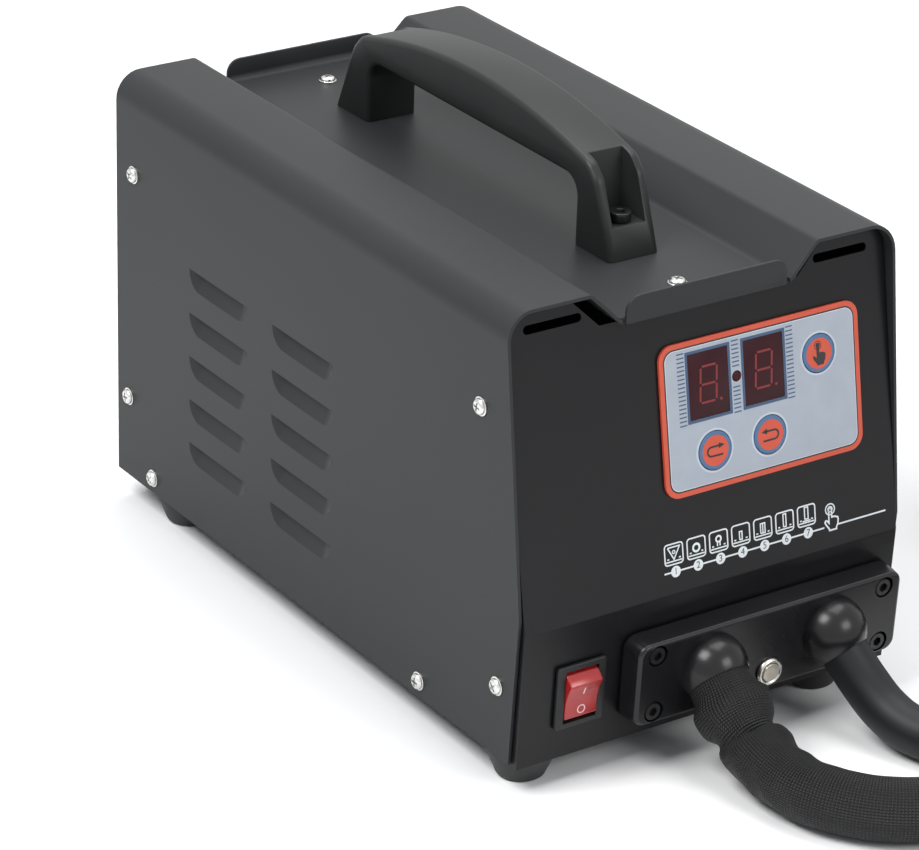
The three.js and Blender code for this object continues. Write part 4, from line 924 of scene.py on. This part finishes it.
# %% Draw the handle from the side and cut its pockets
HANDLE_MIDDLE = 17.06
HANDLE_HALF_WIDTH = 13.5
LEG_INNER = 83
LEG_FOOT = -6
GRIP_UNDERSIDE = 30.5
SHOULDER = 97.3
SHOULDER_HEIGHT = 34
ARCH_HALF = 91
ARCH_TOP = 53.4
ARCH_RADIUS = 328
ARCH_PARTS = 28
FRONT_FOOT = 112.2
REAR_FOOT = 113.8
POCKET_WIDTH = 17.4
POCKET_FLOOR = 13.5


def rounded_shape(corners, steps=8):
    """A closed outline of (x, y, radius) corners, each turned into an arc."""
    points = []
    for k, corner in enumerate(corners):
        after = corners[(k + 1) % len(corners)]
        points += folded_line([corners[k - 1], corner, after], steps)[1:-1]
    return points


def arch_point(k):
    y = ARCH_HALF - 2 * ARCH_HALF * k / ARCH_PARTS
    height = ARCH_TOP - ARCH_RADIUS + math.sqrt(ARCH_RADIUS ** 2 - y ** 2)
    return y, height, 0 if 0 < k < ARCH_PARTS else 10


side_view = [
    (-LEG_INNER, LEG_FOOT, 0), (-LEG_INNER, GRIP_UNDERSIDE, 9), (LEG_INNER, GRIP_UNDERSIDE, 9),
    (LEG_INNER, LEG_FOOT, 0), (REAR_FOOT, LEG_FOOT, 0), (SHOULDER, SHOULDER_HEIGHT, 12),
    *[arch_point(k) for k in range(ARCH_PARTS + 1)],
    (-SHOULDER, SHOULDER_HEIGHT, 12), (-FRONT_FOOT, LEG_FOOT, 0),
]


def bar(name, size, middle):
    clear_selection()
    bpy.ops.mesh.primitive_cube_add(size=1)
    return put(named(name), place_at(*middle) @ Matrix.Diagonal((*mm(*size), 1)))


handle = slab("handle", rounded_shape(side_view), -HANDLE_HALF_WIDTH, HANDLE_HALF_WIDTH)
put(handle, place_at(0, HANDLE_MIDDLE, TRAY_TOP) @ FROM_SIDE)
faces_outward(handle)
round_edges(handle, 2.5, 5, 40)
cut_away(handle, bar("below", (60, 300, 20), (0, HANDLE_MIDDLE, TRAY_TOP - 10)))


def handle_pocket(end):
    """The hollow above a bolt, with a flat floor and straight sides."""
    middle = (0, HANDLE_MIDDLE + end * 99.2, TRAY_TOP + POCKET_FLOOR + 30)
    return bar("pocket", (POCKET_WIDTH, 28.5, 60), middle)


cut_away(handle, handle_pocket(-1), handle_pocket(1))
round_edges(handle, 0.5, 2, 55)
dress(handle, "machine", "black_plastic", moulded_black, "carry_handle")
print("handle faces:", len(handle.data.polygons))

# %% [markdown]
# ## Screws and feet
#
# The cover is held by zinc pan screws with a cross recess, all alike. One is shaped from a short
# cylinder and copied to every place that the model gives. The rubber feet are short cones with a
# rounded rim, wide at the top.

# %% One pan screw, copied to its fourteen places
def lathe(name, profile, steps=40):
    """Spins a profile of (radius, height) points round the Z axis into a closed solid."""
    piece = draw_line(name, [(radius, 0, height) for radius, height in profile])
    bpy.ops.mesh.spin(steps=steps, angle=2 * math.pi, center=(0, 0, 0), axis=(0, 0, 1))
    bpy.ops.mesh.select_all(action="SELECT")
    bpy.ops.mesh.remove_doubles(threshold=2e-6)
    bpy.ops.mesh.normals_make_consistent(inside=False)
    end_edit()
    return piece


screw = lathe("pan_screw", [
    (0, -8), (1.9, -8), (1.9, 0.05), (4.3, 0.05), (4.3, 0.6), (3.7, 0.75), (3.6, 1.5), (3.2, 2.1),
    (2.5, 2.45), (1.4, 2.58), (0, 2.6),
])
cut_away(screw, bar("slot", (4.4, 0.9, 3), (0, 0, 2.7)), bar("slot", (0.9, 4.4, 3), (0, 0, 2.7)))
screw_nodes = [f"cover_screw_{side}_{k}" for side in ("left", "right") for k in range(1, 7)]
for node in screw_nodes + ["tray_screw_front", "tray_screw_rear"]:
    spot = middle_of(node)
    if node.startswith("tray"):
        place = Matrix.Translation((0, spot.y, TRAY_TOP * MM)) @ Matrix.Rotation(0.6, 4, "Z")
    else:
        side = -1 if "left" in node else 1
        turn = Matrix.Rotation(math.radians(90 * side), 4, "Y")
        spin = Matrix.Rotation(0.5 + 1.3 * len(node) + 0.7 * int(node[-1]), 4, "Z")
        place = Matrix.Translation((side * HALF_WIDTH * MM, spot.y, spot.z)) @ turn @ spin
    twin = copy_to(screw, place)
    twin.name = node.replace("screw", "pan_screw")
    dress(twin, "machine", "zinc", zinc, node, smooth=35)
bpy.data.objects.remove(screw)

# %% One rubber foot, copied to its four places
foot = lathe("foot", [
    (0, 6), (5, 6), (5, 0.3), (6, 0), (10.4, 0), (11, 0.5), (11.4, 1.4), (15.6, 11.6), (16, 12.8),
    (16, 13.7), (4.5, 13.7), (4.5, 19.7), (0, 19.7),
], 56)
for word in ("front_left", "front_right", "rear_left", "rear_right"):
    spot = middle_of("foot_" + word)
    twin = copy_to(foot, Matrix.Translation((spot.x, spot.y, 0)))
    twin.name = "rubber_foot_" + word
    dress(twin, "machine", "foot_rubber", foot_rubber, "foot_" + word, smooth=35)
bpy.data.objects.remove(foot)
print("cover screws:", len(screw_nodes), "with two in the valley, and four feet")

# %% [markdown]
# ## The front panel
#
# The panel is a black sheet with one soft fold at its knee and two long slots near its top
# corners. The model's own solid already has that form, so a copy of it is welded, its flat
# faces are joined up, and its edges are softened. The orange-peel skin that shows where the light
# strikes it is a low, wide bump in its paint.

# %% Soften a copy of a model solid
def softened(node, name, width, segments=2, angle=50):
    piece = new_piece(name, bpy.data.objects[node].data.copy())
    begin_edit(piece, whole=True)
    bpy.ops.mesh.remove_doubles(threshold=1e-6)
    bpy.ops.mesh.dissolve_limited(angle_limit=math.radians(0.5))
    end_edit()
    round_edges(piece, width, segments, angle)
    return piece


front_panel = softened("front_panel", "front_sheet", 0.25, 2, 60)
peel = surface(
    "panel_orange_peel", (0.006, 0.006, 0.007), (0.008, 0.008, 0.009), 90, 0.26, 0.33, 2.2, 0.03,
    strength=0.6, shine=0.22,
)
dress(front_panel, "machine", "panel_paint", peel, "front_panel", even=True)
print("panel faces:", len(front_panel.data.polygons))

# %% [markdown]
# ## The connector block
#
# Both welding cables leave through a thick moulded block with two round hoods. The block is a
# rounded slab with softened edges, each hood is a ball sunk in its face, and the cable's bore is
# cut through the hood at the cable's own slant. Four socket screws sit in round counterbores, and
# a steel push button stands between the hoods.

# %% Block, hoods and bores
BLOCK_WIDTH = 146
BLOCK_HEIGHT = 42
BLOCK_DROP = 34
BLOCK_MIDDLE = 24
BLOCK_DEPTH = 12.5
WELL_DEPTH = 5
GUN_HOOD_X = -8
EARTH_HOOD_X = 58
HOOD_RADIUS = 16
BORE_CLEAR = 0.4
BUTTON_DROP = 45.3


def ball(name, radius, middle):
    clear_selection()
    bpy.ops.mesh.primitive_uv_sphere_add(segments=64, ring_count=32, radius=radius * MM)
    return put(named(name), place_at(*middle))


def drum(name, radius, low, high, sides=48):
    clear_selection()
    bpy.ops.mesh.primitive_cylinder_add(
        vertices=sides, radius=radius * MM, depth=(high - low) * MM,
        location=(0, 0, (low + high) / 2 * MM),
    )
    return put(named(name), Matrix.Identity(4))


def along(x, y, z, down, turn=0):
    """A place whose Z axis points out of the panel, down by one angle and across by another."""
    lean = math.radians(down - 2.36)
    way = Vector((
        math.sin(math.radians(turn)) * math.cos(lean), -math.sin(lean),
        math.cos(math.radians(turn)) * math.cos(lean),
    ))
    return place_at(x, y, z) @ way.to_track_quat("Z", "Y").to_matrix().to_4x4()


block_outline = rounded_rectangle(BLOCK_WIDTH, BLOCK_HEIGHT, 6, BLOCK_MIDDLE, -BLOCK_DROP, 8)
block = slab("block", block_outline, 0.3, BLOCK_DEPTH)
begin_edit(block)
pick_faces(block, lambda normal: normal.z > 0.9)
bpy.ops.transform.resize(
    value=(0.985, 0.95, 1), center_override=mm(BLOCK_MIDDLE, -BLOCK_DROP, BLOCK_DEPTH),
)
end_edit()
round_edges(block, 1.7, 4, 60)
for x in (GUN_HOOD_X, EARTH_HOOD_X):
    grow_by(block, ball("hood", HOOD_RADIUS, (x, -BLOCK_DROP, BLOCK_DEPTH)))
cut_away(block, bar("behind", (160, 60, 20), (BLOCK_MIDDLE, -BLOCK_DROP, -9.7)))
for radius, x, way in (
    (GUN_CABLE_RADIUS, GUN_HOOD_X, (40, 0)), (EARTH_CABLE_RADIUS, EARTH_HOOD_X, (45, 16)),
):
    bore = drum("bore", radius + BORE_CLEAR, -0.3, 42, 64)
    cut_away(block, put(bore, along(x, -BLOCK_DROP, BLOCK_DEPTH, *way)))
for x in (-62.2, 62.2):
    for y in (13.9, -13.9):
        spot = place_at(BLOCK_MIDDLE + x, y - BLOCK_DROP)
        cut_away(block, put(drum("well", 5, BLOCK_DEPTH - WELL_DEPTH, 20), spot))
        cut_away(block, put(drum("hole", 2.7, -1, 20, 24), spot))
cut_away(block, put(drum("seat", 6.1, -1, 20), place_at(BLOCK_MIDDLE, -BUTTON_DROP)))
round_edges(block, 0.35, 2, 45)
put(block, lower_plane)
dress(block, "machine", "gloss_black", gloss_black, "connector_block", smooth=35, even=True)
print("block faces:", len(block.data.polygons))

# %% Socket screws, the handle's bolts and the push button
BOLT_DROP = 4.5

cap_screw = lathe("cap_screw", [
    (0, -14), (2.4, -14), (2.4, 0.3), (4.3, 0.3), (4.3, 3.9), (3.9, 4.5), (2.7, 4.5), (2.7, 4.5),
    (0, 4.5),
], 48)
cut_away(cap_screw, put(drum("socket", 2.3, 0, 4, 6), place_at(0, 0, 2.3)))
for k in range(1, 5):
    node = "block_screw_%d" % k
    spot = lower_plane.inverted() @ middle_of(node)
    place = lower_plane @ Matrix.Translation((spot.x, spot.y, (BLOCK_DEPTH - WELL_DEPTH) * MM))
    twin = copy_to(cap_screw, place @ Matrix.Rotation(0.4 * (k - 1), 4, "Z"))
    twin.name = "socket_screw_%d" % k
    dress(twin, "machine", "black_steel", screw_black, node, smooth=35)
bpy.data.objects.remove(cap_screw)

for end in ("front", "rear"):
    bolt = softened("handle_bolt_" + end, end + "_bolt", 0.2)
    put(bolt, place_at(0, 0, -BOLT_DROP))
    dress(bolt, "machine", "black_steel", screw_black, "handle_bolt_" + end, smooth=35)

at_button = lower_plane @ place_at(BLOCK_MIDDLE, -BUTTON_DROP, BLOCK_DEPTH)
button_body = put(lathe("button_ring", [
    (4.7, -10), (5.8, -10), (5.8, 0.3), (6.7, 0.3), (6.7, 1), (6.4, 1.55), (5.9, 1.9), (5.2, 1.9),
    (4.7, 1.5), (4.7, -10),
], 64), at_button)
dress(button_body, "machine", "stainless", stainless, "push_button_body", smooth=35)
button_cap = put(lathe("button_plunger", [
    (0, -8), (4.4, -8), (4.4, 1.9), (4.2, 2.25), (3.8, 2.4), (2, 2.3), (0, 2.25),
], 64), at_button)
button_beige = surface(
    "button_face", (0.46, 0.42, 0.36), (0.52, 0.48, 0.42), 5, 0.3, 0.4, 0.3, 0.01, 0.6,
)
dress(button_cap, "push_button", "stainless", button_beige, "push_button_cap", smooth=35)
print("button at", [round(v, 4) for v in at_button.translation])

# %% [markdown]
# ## The rocker switch
#
# The mains switch has a black bezel and a see-through red rocker, tipped towards its lower side.
# Its pale upper end catches the light. The rocker is drawn from the side with its hollow face and
# round ends and then extruded, and the two marks are thin shapes laid on its face.

# %% Bezel and rocker
SWITCH_X = -70.5
SWITCH_DROP = 34.9
bezel = slab("bezel", rounded_rectangle(25.4, 30.8, 1.5), 0.3, 2.3)
round_edges(bezel, 0.6, 3, 60)
body = slab("switch_body", rounded_rectangle(21, 27.4, 1.5), -17, 1)
grow_by(bezel, body)
cut_away(bezel, bar("well", (17.2, 25.6, 20), (0, 0, -5.5)))
at_switch = lower_plane @ place_at(SWITCH_X, -SWITCH_DROP)
put(bezel, at_switch)
dress(bezel, "machine", "black_plastic", moulded_black, "switch_housing", smooth=35)

ROCKER_RADIUS = 12.5
ROCKER_TOP = 9.0
ROCKER_HALF = math.sqrt(ROCKER_RADIUS ** 2 - ROCKER_TOP ** 2)
ROCKER_SAG = 5.8


def face_height(share):
    return ROCKER_TOP - ROCKER_SAG * share * (1 - share)


def rocker_side():
    rise = math.degrees(math.asin(ROCKER_TOP / ROCKER_RADIUS))
    hollow = [(ROCKER_HALF * (1 - k / 8), face_height(k / 16)) for k in range(1, 16)]
    return [
        *arc(0, 0, ROCKER_RADIUS, 0, rise, 12), *hollow,
        *arc(0, 0, ROCKER_RADIUS, 180 - rise, rise, 12), (-4, -8), (4, -8),
    ]


rocker = slab("rocker_key", rocker_side(), -8.3, 8.3)
faces_outward(rocker)
round_edges(rocker, 0.5, 3, 50)
at_rocker = at_switch @ place_at(0, 0, -4) @ Matrix.Rotation(math.radians(10), 4, "X")
put(rocker, at_rocker @ FROM_SIDE)


def clear_red():
    material, shader = plain_finish("clear_red", (0.34, 0.007, 0.008), 0.16)
    shader.inputs["Coat Weight"].default_value = 0.3
    shader.inputs["Coat Roughness"].default_value = 0.1
    shader.inputs["Subsurface Weight"].default_value = 0.25
    shader.inputs["Subsurface Scale"].default_value = 0.002
    place = drift(material, shader, (0.28, 0.006, 0.007), (0.38, 0.010, 0.011), 14, 0.24, 0.32)
    grain(material, shader, place, 0.7, 0.01, 0.3)
    return material


dress(rocker, "rocker", "red_lens", clear_red(), "switch_rocker", smooth=35)
mark_white = surface(
    "mark_white", (0.72, 0.55, 0.55), (0.80, 0.62, 0.62), 6, 0.35, 0.45, 0.4, 0.005,
)


def mark_place(y):
    """A place lying on the rocker's hollow face, leaning as the face does there."""
    share = (1 - y / ROCKER_HALF) / 2
    slope = ROCKER_SAG * (1 - 2 * share) / (2 * ROCKER_HALF)
    lean = Matrix.Rotation(math.atan(slope), 4, "X")
    return at_rocker @ place_at(0, y, face_height(share)) @ lean


ring = slab("off_mark", rounded_rectangle(4.2, 4.2, 2.09, 0, 0, 8), -0.05, 0.12)
cut_away(ring, drum("inside", 1.6, -1, 1, 32))
put(ring, mark_place(-5.5))
dress(ring, "rocker", "red_lens", mark_white, smooth=0)
line = slab("on_mark", rounded_rectangle(0.6, 4.0, 0.25, 0, 0, 3), -0.05, 0.16)
put(line, mark_place(4.5))
dress(line, "rocker", "red_lens", mark_white, smooth=0)
print("rocker face length:", round(2 * ROCKER_HALF, 2))

# %% [markdown]
# ## The control film
#
# The controls sit under one printed film: an orange margin, a thin black line and a pale grey-blue
# face. Between the line and the face runs a thin white line, which is a painted highlight along the
# face's edge. Each colour is a film of ink with a thickness of its own, laid a little higher than
# the one below, because two faces at one height would flicker. The windows and the keys show
# through holes, so every layer is drawn whole and then cut by the same tools.

# %% Layers of the film
FILM_WIDTH = 107.5
FILM_HEIGHT = 68
FILM_CORNER = 7
FILM_MIDDLE = (29.3, 76.4)
FILM_TOP = 1.5
INK = 0.03
FACE = FILM_TOP + 3 * INK
WINDOW = (21.4, 29.4)
DISPLAYS = [(1, 89.7), (30.7, 89.7)]
KEYS = {"next_key": (2.3, 59.5), "back_key": (32.1, 59.8), "select_key": (60.6, 90.3)}
LIGHT = (16, 89.7)


# An ink of one colour; the painted highlights on the film are made with it too.
def ink(name, colour, rough=0.4):
    other = tuple(0.93 * part for part in colour)
    return surface(name, colour, other, 9, rough, rough + 0.06, 0.5, 0.002, strength=0.2)


film_orange = ink("film_orange", (0.58, 0.075, 0.034))
film_black = ink("film_black", (0.012, 0.012, 0.014))
painted_edge_highlight = ink("painted_edge_highlight", (0.72, 0.75, 0.78))
film_face = ink("film_face", (0.36, 0.40, 0.46))
ink_blue = ink("ink_blue", (0.060, 0.140, 0.270))
ink_navy = ink("ink_navy", (0.038, 0.080, 0.160))
# A lighter copy of the face colour, used as painted highlight on the rims of the key openings.
rim_highlight_ink = ink("rim_highlight_ink", (0.50, 0.56, 0.64))
ink_red = ink("ink_red", (0.19, 0.007, 0.011))
ink_white = ink("ink_white", (0.72, 0.76, 0.78))
ink_black = ink("ink_black", (0.012, 0.010, 0.012))


def film(name, material, inset, low, high, frame_gap):
    """One colour of the film, printed or a painted highlight, as a thin plate with all its
    openings.
    """
    outline = rounded_rectangle(
        FILM_WIDTH - 2 * inset, FILM_HEIGHT - 2 * inset, FILM_CORNER - 0.8 * inset, *FILM_MIDDLE, 8,
    )
    piece = slab(name, outline, low, high)
    for x, y in DISPLAYS:
        cut_away(piece, bar("window", (WINDOW[0] + frame_gap, WINDOW[1] + frame_gap, 5), (x, y, 1)))
    for x, y in KEYS.values():
        cut_away(piece, put(drum("opening", 8.95, -2, 4, 64), place_at(x, y)))
    cut_away(piece, put(drum("opening", 2.5, -2, 4, 32), place_at(*LIGHT)))
    put(piece, upper_plane)
    nodes = ["control_overlay"] if low < FILM_TOP else []
    return dress(piece, "machine", "film", material, *nodes, smooth=0)


film("film_margin", film_orange, 0, 0.3, FILM_TOP, 0.7)
film("film_line", film_black, 2.2, FILM_TOP, FILM_TOP + INK, 0)
# A thin white film just inside the black line: a painted highlight along the face's edge.
film("film_edge", painted_edge_highlight, 2.9, FILM_TOP, FILM_TOP + 2 * INK, 0)
film("film_panel", film_face, 3.15, FILM_TOP, FACE, 0)

# %% Rings, strokes and joined prints
def hoop(name, outer, inner, low, x, y, height=INK):
    piece = drum(name, outer, low, low + height, 64)
    cut_away(piece, drum("middle", inner, low - 1, low + 1, 64))
    return put(piece, place_at(x, y))


def stroke(points, width):
    """The outline of a line of even width, mitred at each corner."""
    left, right = [], []
    for k, point in enumerate(points):
        here = Vector(point)
        into = here - Vector(points[k - 1]) if k else Vector(points[1]) - here
        away = Vector(points[k + 1]) - here if k + 1 < len(points) else into
        into, away = into.normalized(), away.normalized()
        square = Vector((-into.y, into.x))
        mitre = (square + Vector((-away.y, away.x))).normalized()
        reach = mitre * (width / 2 / max(mitre.dot(square), 0.4))
        left.append(tuple(here + reach))
        right.append(tuple(here - reach))
    return left + right[::-1]


def shifted(points, x, y, size=1.0):
    return [(x + size * a, y + size * b) for a, b in points]


def printed(name, body, slot, material, low, outlines, hoops=()):
    """Joins outlines and rings of one colour, print or painted highlight, into one thin film on the
    upper plane.
    """
    pieces = [slab(name, outline, low, low + INK) for outline in outlines]
    pieces += [hoop(name, outer, inner, low, x, y) for outer, inner, x, y in hoops]
    piece = join(*pieces) if len(pieces) > 1 else pieces[0]
    put(piece, upper_plane)
    return dress(piece, body, slot, material, smooth=0)

# %% Bars beside the displays
BAR_COLUMNS = (-13.4, 15.7, 45.0)
BAR_COUNT = 18
BAR_PITCH = 1.87
bar_outlines = []
for x in BAR_COLUMNS:
    for k in range(BAR_COUNT):
        y = LIGHT[1] + (k - (BAR_COUNT - 1) / 2) * BAR_PITCH
        beside_light = x == BAR_COLUMNS[1] and abs(y - LIGHT[1]) < 3.4
        if not beside_light:
            bar_outlines.append(shifted([(-1.9, -0.3), (1.9, -0.3), (1.9, 0.3), (-1.9, 0.3)], x, y))
printed("side_bars", "machine", "film", ink_navy, FACE, bar_outlines)
print("bars beside the displays:", len(bar_outlines))

# %% Displays with their dim figures
def frame_of(x, y):
    piece = slab("window_frame", rounded_rectangle(24, 32, 0.3, x, y, 2), FACE, FACE + INK)
    cut_away(piece, bar("inside", (*WINDOW, 4), (x, y, FACE)))
    return piece


frames = join(*[frame_of(*spot) for spot in DISPLAYS])
put(frames, upper_plane)
dress(frames, "machine", "film", ink_navy, smooth=0)
smoked = surface(
    "smoked_red", (0.030, 0.006, 0.009), (0.038, 0.008, 0.011), 12, 0.3, 0.38, 0.8, 0.004,
    strength=0.2, shine=0.15,
)
for node in ("digit_left", "digit_right"):
    window = softened(node, node.replace("digit", "window"), 0.15)
    dress(window, "machine", "dark_red", smoked, node)

SEGMENTS = [
    ((-3.6, 8), (3.6, 8)), ((-3.6, 0), (3.6, 0)), ((-3.6, -8), (3.6, -8)),
    ((-4.3, 0.7), (-4.3, 7.3)), ((4.3, 0.7), (4.3, 7.3)),
    ((-4.3, -7.3), (-4.3, -0.7)), ((4.3, -7.3), (4.3, -0.7)),
]
SLANT = 0.07
figure_outlines = []
for x, y in DISPLAYS:
    for start, end in SEGMENTS:
        leaned = [(a + SLANT * b, b) for a, b in (start, end)]
        figure_outlines.append(shifted(stroke(leaned, 0.95), x, y))
    figure_outlines.append(rounded_rectangle(1.3, 1.3, 0.64, x + 6.3, y - 8, 5))
printed("dim_figures", "machine", "dark_red", ink_red, FILM_TOP, figure_outlines)

lamp = softened("status_light", "status_lens", 0.5, 3)
dress(lamp, "machine", "dark_lens", smoked, "status_light")
print("display figures:", len(figure_outlines))

# %% [markdown]
# ## The three keys
#
# Each key is an orange disc with a blue ring, which sinks into its hole in the film when it is
# pressed. The arrows and the hand are black and are part of the key, so they move with it.

# %% Keys and their marks
KEY_TOP = 2.0
HAND = [
    (-1.15, 3.3), (-1.0, 3.75), (-0.5, 3.95), (0.0, 3.75), (0.15, 3.3), (0.15, 0.4), (1.0, 0.5),
    (1.9, 0.25), (2.7, -0.1), (2.9, -0.8), (2.7, -2.4), (2.0, -3.6), (2.0, -4.2), (-1.0, -4.2),
    (-1.2, -3.5), (-2.4, -2.0), (-2.9, -0.9), (-2.5, -0.4), (-1.9, -0.6), (-1.15, -1.5),
]


def turn_arrow(way):
    """A line that turns back on itself and ends in an arrowhead, to the right if way is 1."""
    line = [(3.3 * way, -1.7), (-1.8 * way, -1.7)]
    for k in range(1, 8):
        angle = math.radians(-90 + 22.5 * k)
        line.append((-way * (1.8 + 1.7 * math.cos(angle)), 1.7 * math.sin(angle)))
    line += [(-1.8 * way, 1.7), (1.9 * way, 1.7)]
    return [stroke(line, 0.75), [(1.5 * way, 2.8), (4.0 * way, 1.7), (1.5 * way, 0.6)]]


MARKS = {
    "next_key": (turn_arrow(1), []),
    "back_key": (turn_arrow(-1), []),
    "select_key": ([HAND], [(1.2, 0.85), (2.0, 1.65)]),
}
MARK_SIZE = 1.22
for node, (x, y) in KEYS.items():
    disc = softened(node, node.replace("key", "disc"), 0.12)
    dress(disc, node, "orange", ink_blue, node)
    middle = drum(node.replace("key", "middle"), 6.9, KEY_TOP, KEY_TOP + INK, 64)
    put(middle, upper_plane @ place_at(x, y))
    dress(middle, node, "orange", film_orange, smooth=0)
    outlines, hoops = MARKS[node]
    printed(
        node.replace("key", "mark"), node, "orange", ink_black, KEY_TOP + INK,
        [shifted(outline, x, y - 0.2, MARK_SIZE) for outline in outlines],
        [(outer, inner, x - 0.6, y + 3.7) for outer, inner in hoops],
    )
    # A pale ring round each key opening, a lighter copy of the face colour: painted highlight on
    # its rim.
    printed(node.replace("key", "halo"), "machine", "film", rim_highlight_ink, FACE, [], [(9.9, 9.0, x, y)])
print("keys:", len(KEYS))

# %% [markdown]
# ## The row of tools
#
# Below the film a white line runs across the panel with seven numbered discs. Over each disc a
# rounded square holds a plain sign for one kind of tool. The words beside them are left off.

# %% Line, discs, squares and signs
ROW_Y = 9.9
ROW_PITCH = 12.05
FIRST_DISC = -20.9
PANEL_FACE = 0.0
SIGN_Y = 18.0
BASE = [(-4.3, -3.2), (4.3, -3.2)]
SPARKS = [[(-3.6, -2.0), (-2.6, -2.0)], [(3.6, -2.0), (2.6, -2.0)]]


def box_line(width, height, y):
    half = width / 2
    return [(-half, y), (-half, y + height), (half, y + height), (half, y), (-half, y)]


SIGNS = [
    [[(-3.2, 3.2), (0, -2.4), (3.2, 3.2), (-3.2, 3.2)]],
    [],
    [[(-0.7, -2.2), (-0.7, -0.4)], [(0.7, -2.2), (0.7, -0.4)]],
    [box_line(1.4, 3.6, -2.2)],
    [box_line(2.4, 4.4, -2.2), [(0, -2), (0, 2)]],
    [box_line(1.5, 5.8, -2.2)],
    [box_line(1.9, 5.4, -1.6), [(-2.2, -2.4), (2.2, -2.4)]],
]
SIGN_RINGS = {0: (0.95, 0.45, 0.9), 1: (2.2, 1.2, 0.0), 2: (1.75, 0.9, 1.0)}
row_outlines = [stroke([(-27, ROW_Y), (FIRST_DISC, ROW_Y), (60.4, ROW_Y)], 0.75)]
row_outlines.append(stroke([(68.3, ROW_Y), (95, ROW_Y)], 0.75))
row_hoops = []
for k, sign in enumerate(SIGNS):
    x = FIRST_DISC - 0.6 + k * ROW_PITCH
    for line in sign + [BASE] + SPARKS:
        row_outlines.append(shifted(stroke(line, 0.62), x, SIGN_Y))
    if k in SIGN_RINGS:
        outer, inner, rise = SIGN_RINGS[k]
        row_hoops.append((outer, inner, x, SIGN_Y + rise))
row_outlines.append(shifted(stroke(HAND + [HAND[0]], 0.62), 64.6, 13.4, 1.28))
row_hoops += [(1.5, 0.9, 64.0, 17.7), (2.8, 2.2, 64.0, 17.7)]
printed("row_lines", "machine", "", ink_white, PANEL_FACE, row_outlines, row_hoops)

square_outline = rounded_rectangle(10.3, 9.9, 1.7, 0, 0, 5)
square = slab("row_square", square_outline, PANEL_FACE, PANEL_FACE + INK)
cut_away(square, slab("row_square", rounded_rectangle(9.0, 8.6, 1.1, 0, 0, 5), -1, 1))
disc = drum("row_disc", 2.55, PANEL_FACE, PANEL_FACE + 2 * INK, 40)
for k in range(len(SIGNS)):
    x = FIRST_DISC + k * ROW_PITCH
    for pattern, place_x, y in ((square, x - 0.6, SIGN_Y), (disc, x, ROW_Y)):
        twin = copy_to(pattern, upper_plane @ place_at(place_x, y))
        dress(twin, "machine", "", ink_white, smooth=0)
bpy.data.batch_remove([square, disc])

# %% Numbers on the discs
for k in range(len(SIGNS)):
    clear_selection()
    bpy.ops.object.text_add()
    number = bpy.context.active_object
    number.data.body = str(k + 1)
    number.data.size = 4.4 * MM
    number.data.align_x = "CENTER"
    number.data.align_y = "CENTER"
    bpy.ops.object.convert(target="MESH")
    number = named("row_number_%d" % (k + 1))
    spot = mm(FIRST_DISC + k * ROW_PITCH, ROW_Y, PANEL_FACE + 3 * INK)
    put(number, upper_plane @ Matrix.Translation(spot))
    dress(number, "machine", "", ink_black, smooth=0)
print("tools in the row:", len(SIGNS))

# %% [markdown]
# ## The rear, the gun and the earth lug
#
# These pieces lie out of the picture, behind the machine or at the ends of the cables. Their
# solids already have the right outline, so each is copied, its edges are softened and it gets the
# finish of its material.

# %% Soften the remaining pieces
SOFT_PIECES = [
    ("rear_panel", "rear_sheet", 0.2, "machine", "panel_paint", panel_paint),
    ("base_tray", "tray_sheet", 0.2, "machine", "cover_paint", cover_paint),
    ("fan_frame", "fan_housing", 0.5, "machine", "black_plastic", moulded_black),
    ("mains_gland", "gland", 0.4, "machine", "black_plastic", moulded_black),
    ("gun_body", "gun_shell", 1.2, "machine", "black_plastic", moulded_black),
    ("gun_nose", "gun_nozzle", 0.4, "machine", "brass", brass),
    ("gun_trigger", "gun_lever", 0.6, "trigger", "orange", trigger_orange),
    ("earth_lug", "lug", 0.4, "machine", "copper", copper),
]
for node, name, width, body, slot, material in SOFT_PIECES:
    piece = softened(node, name, width, 2, 40)
    dress(piece, body, slot, material, node, even=True)
    print(name, "faces:", len(piece.data.polygons))
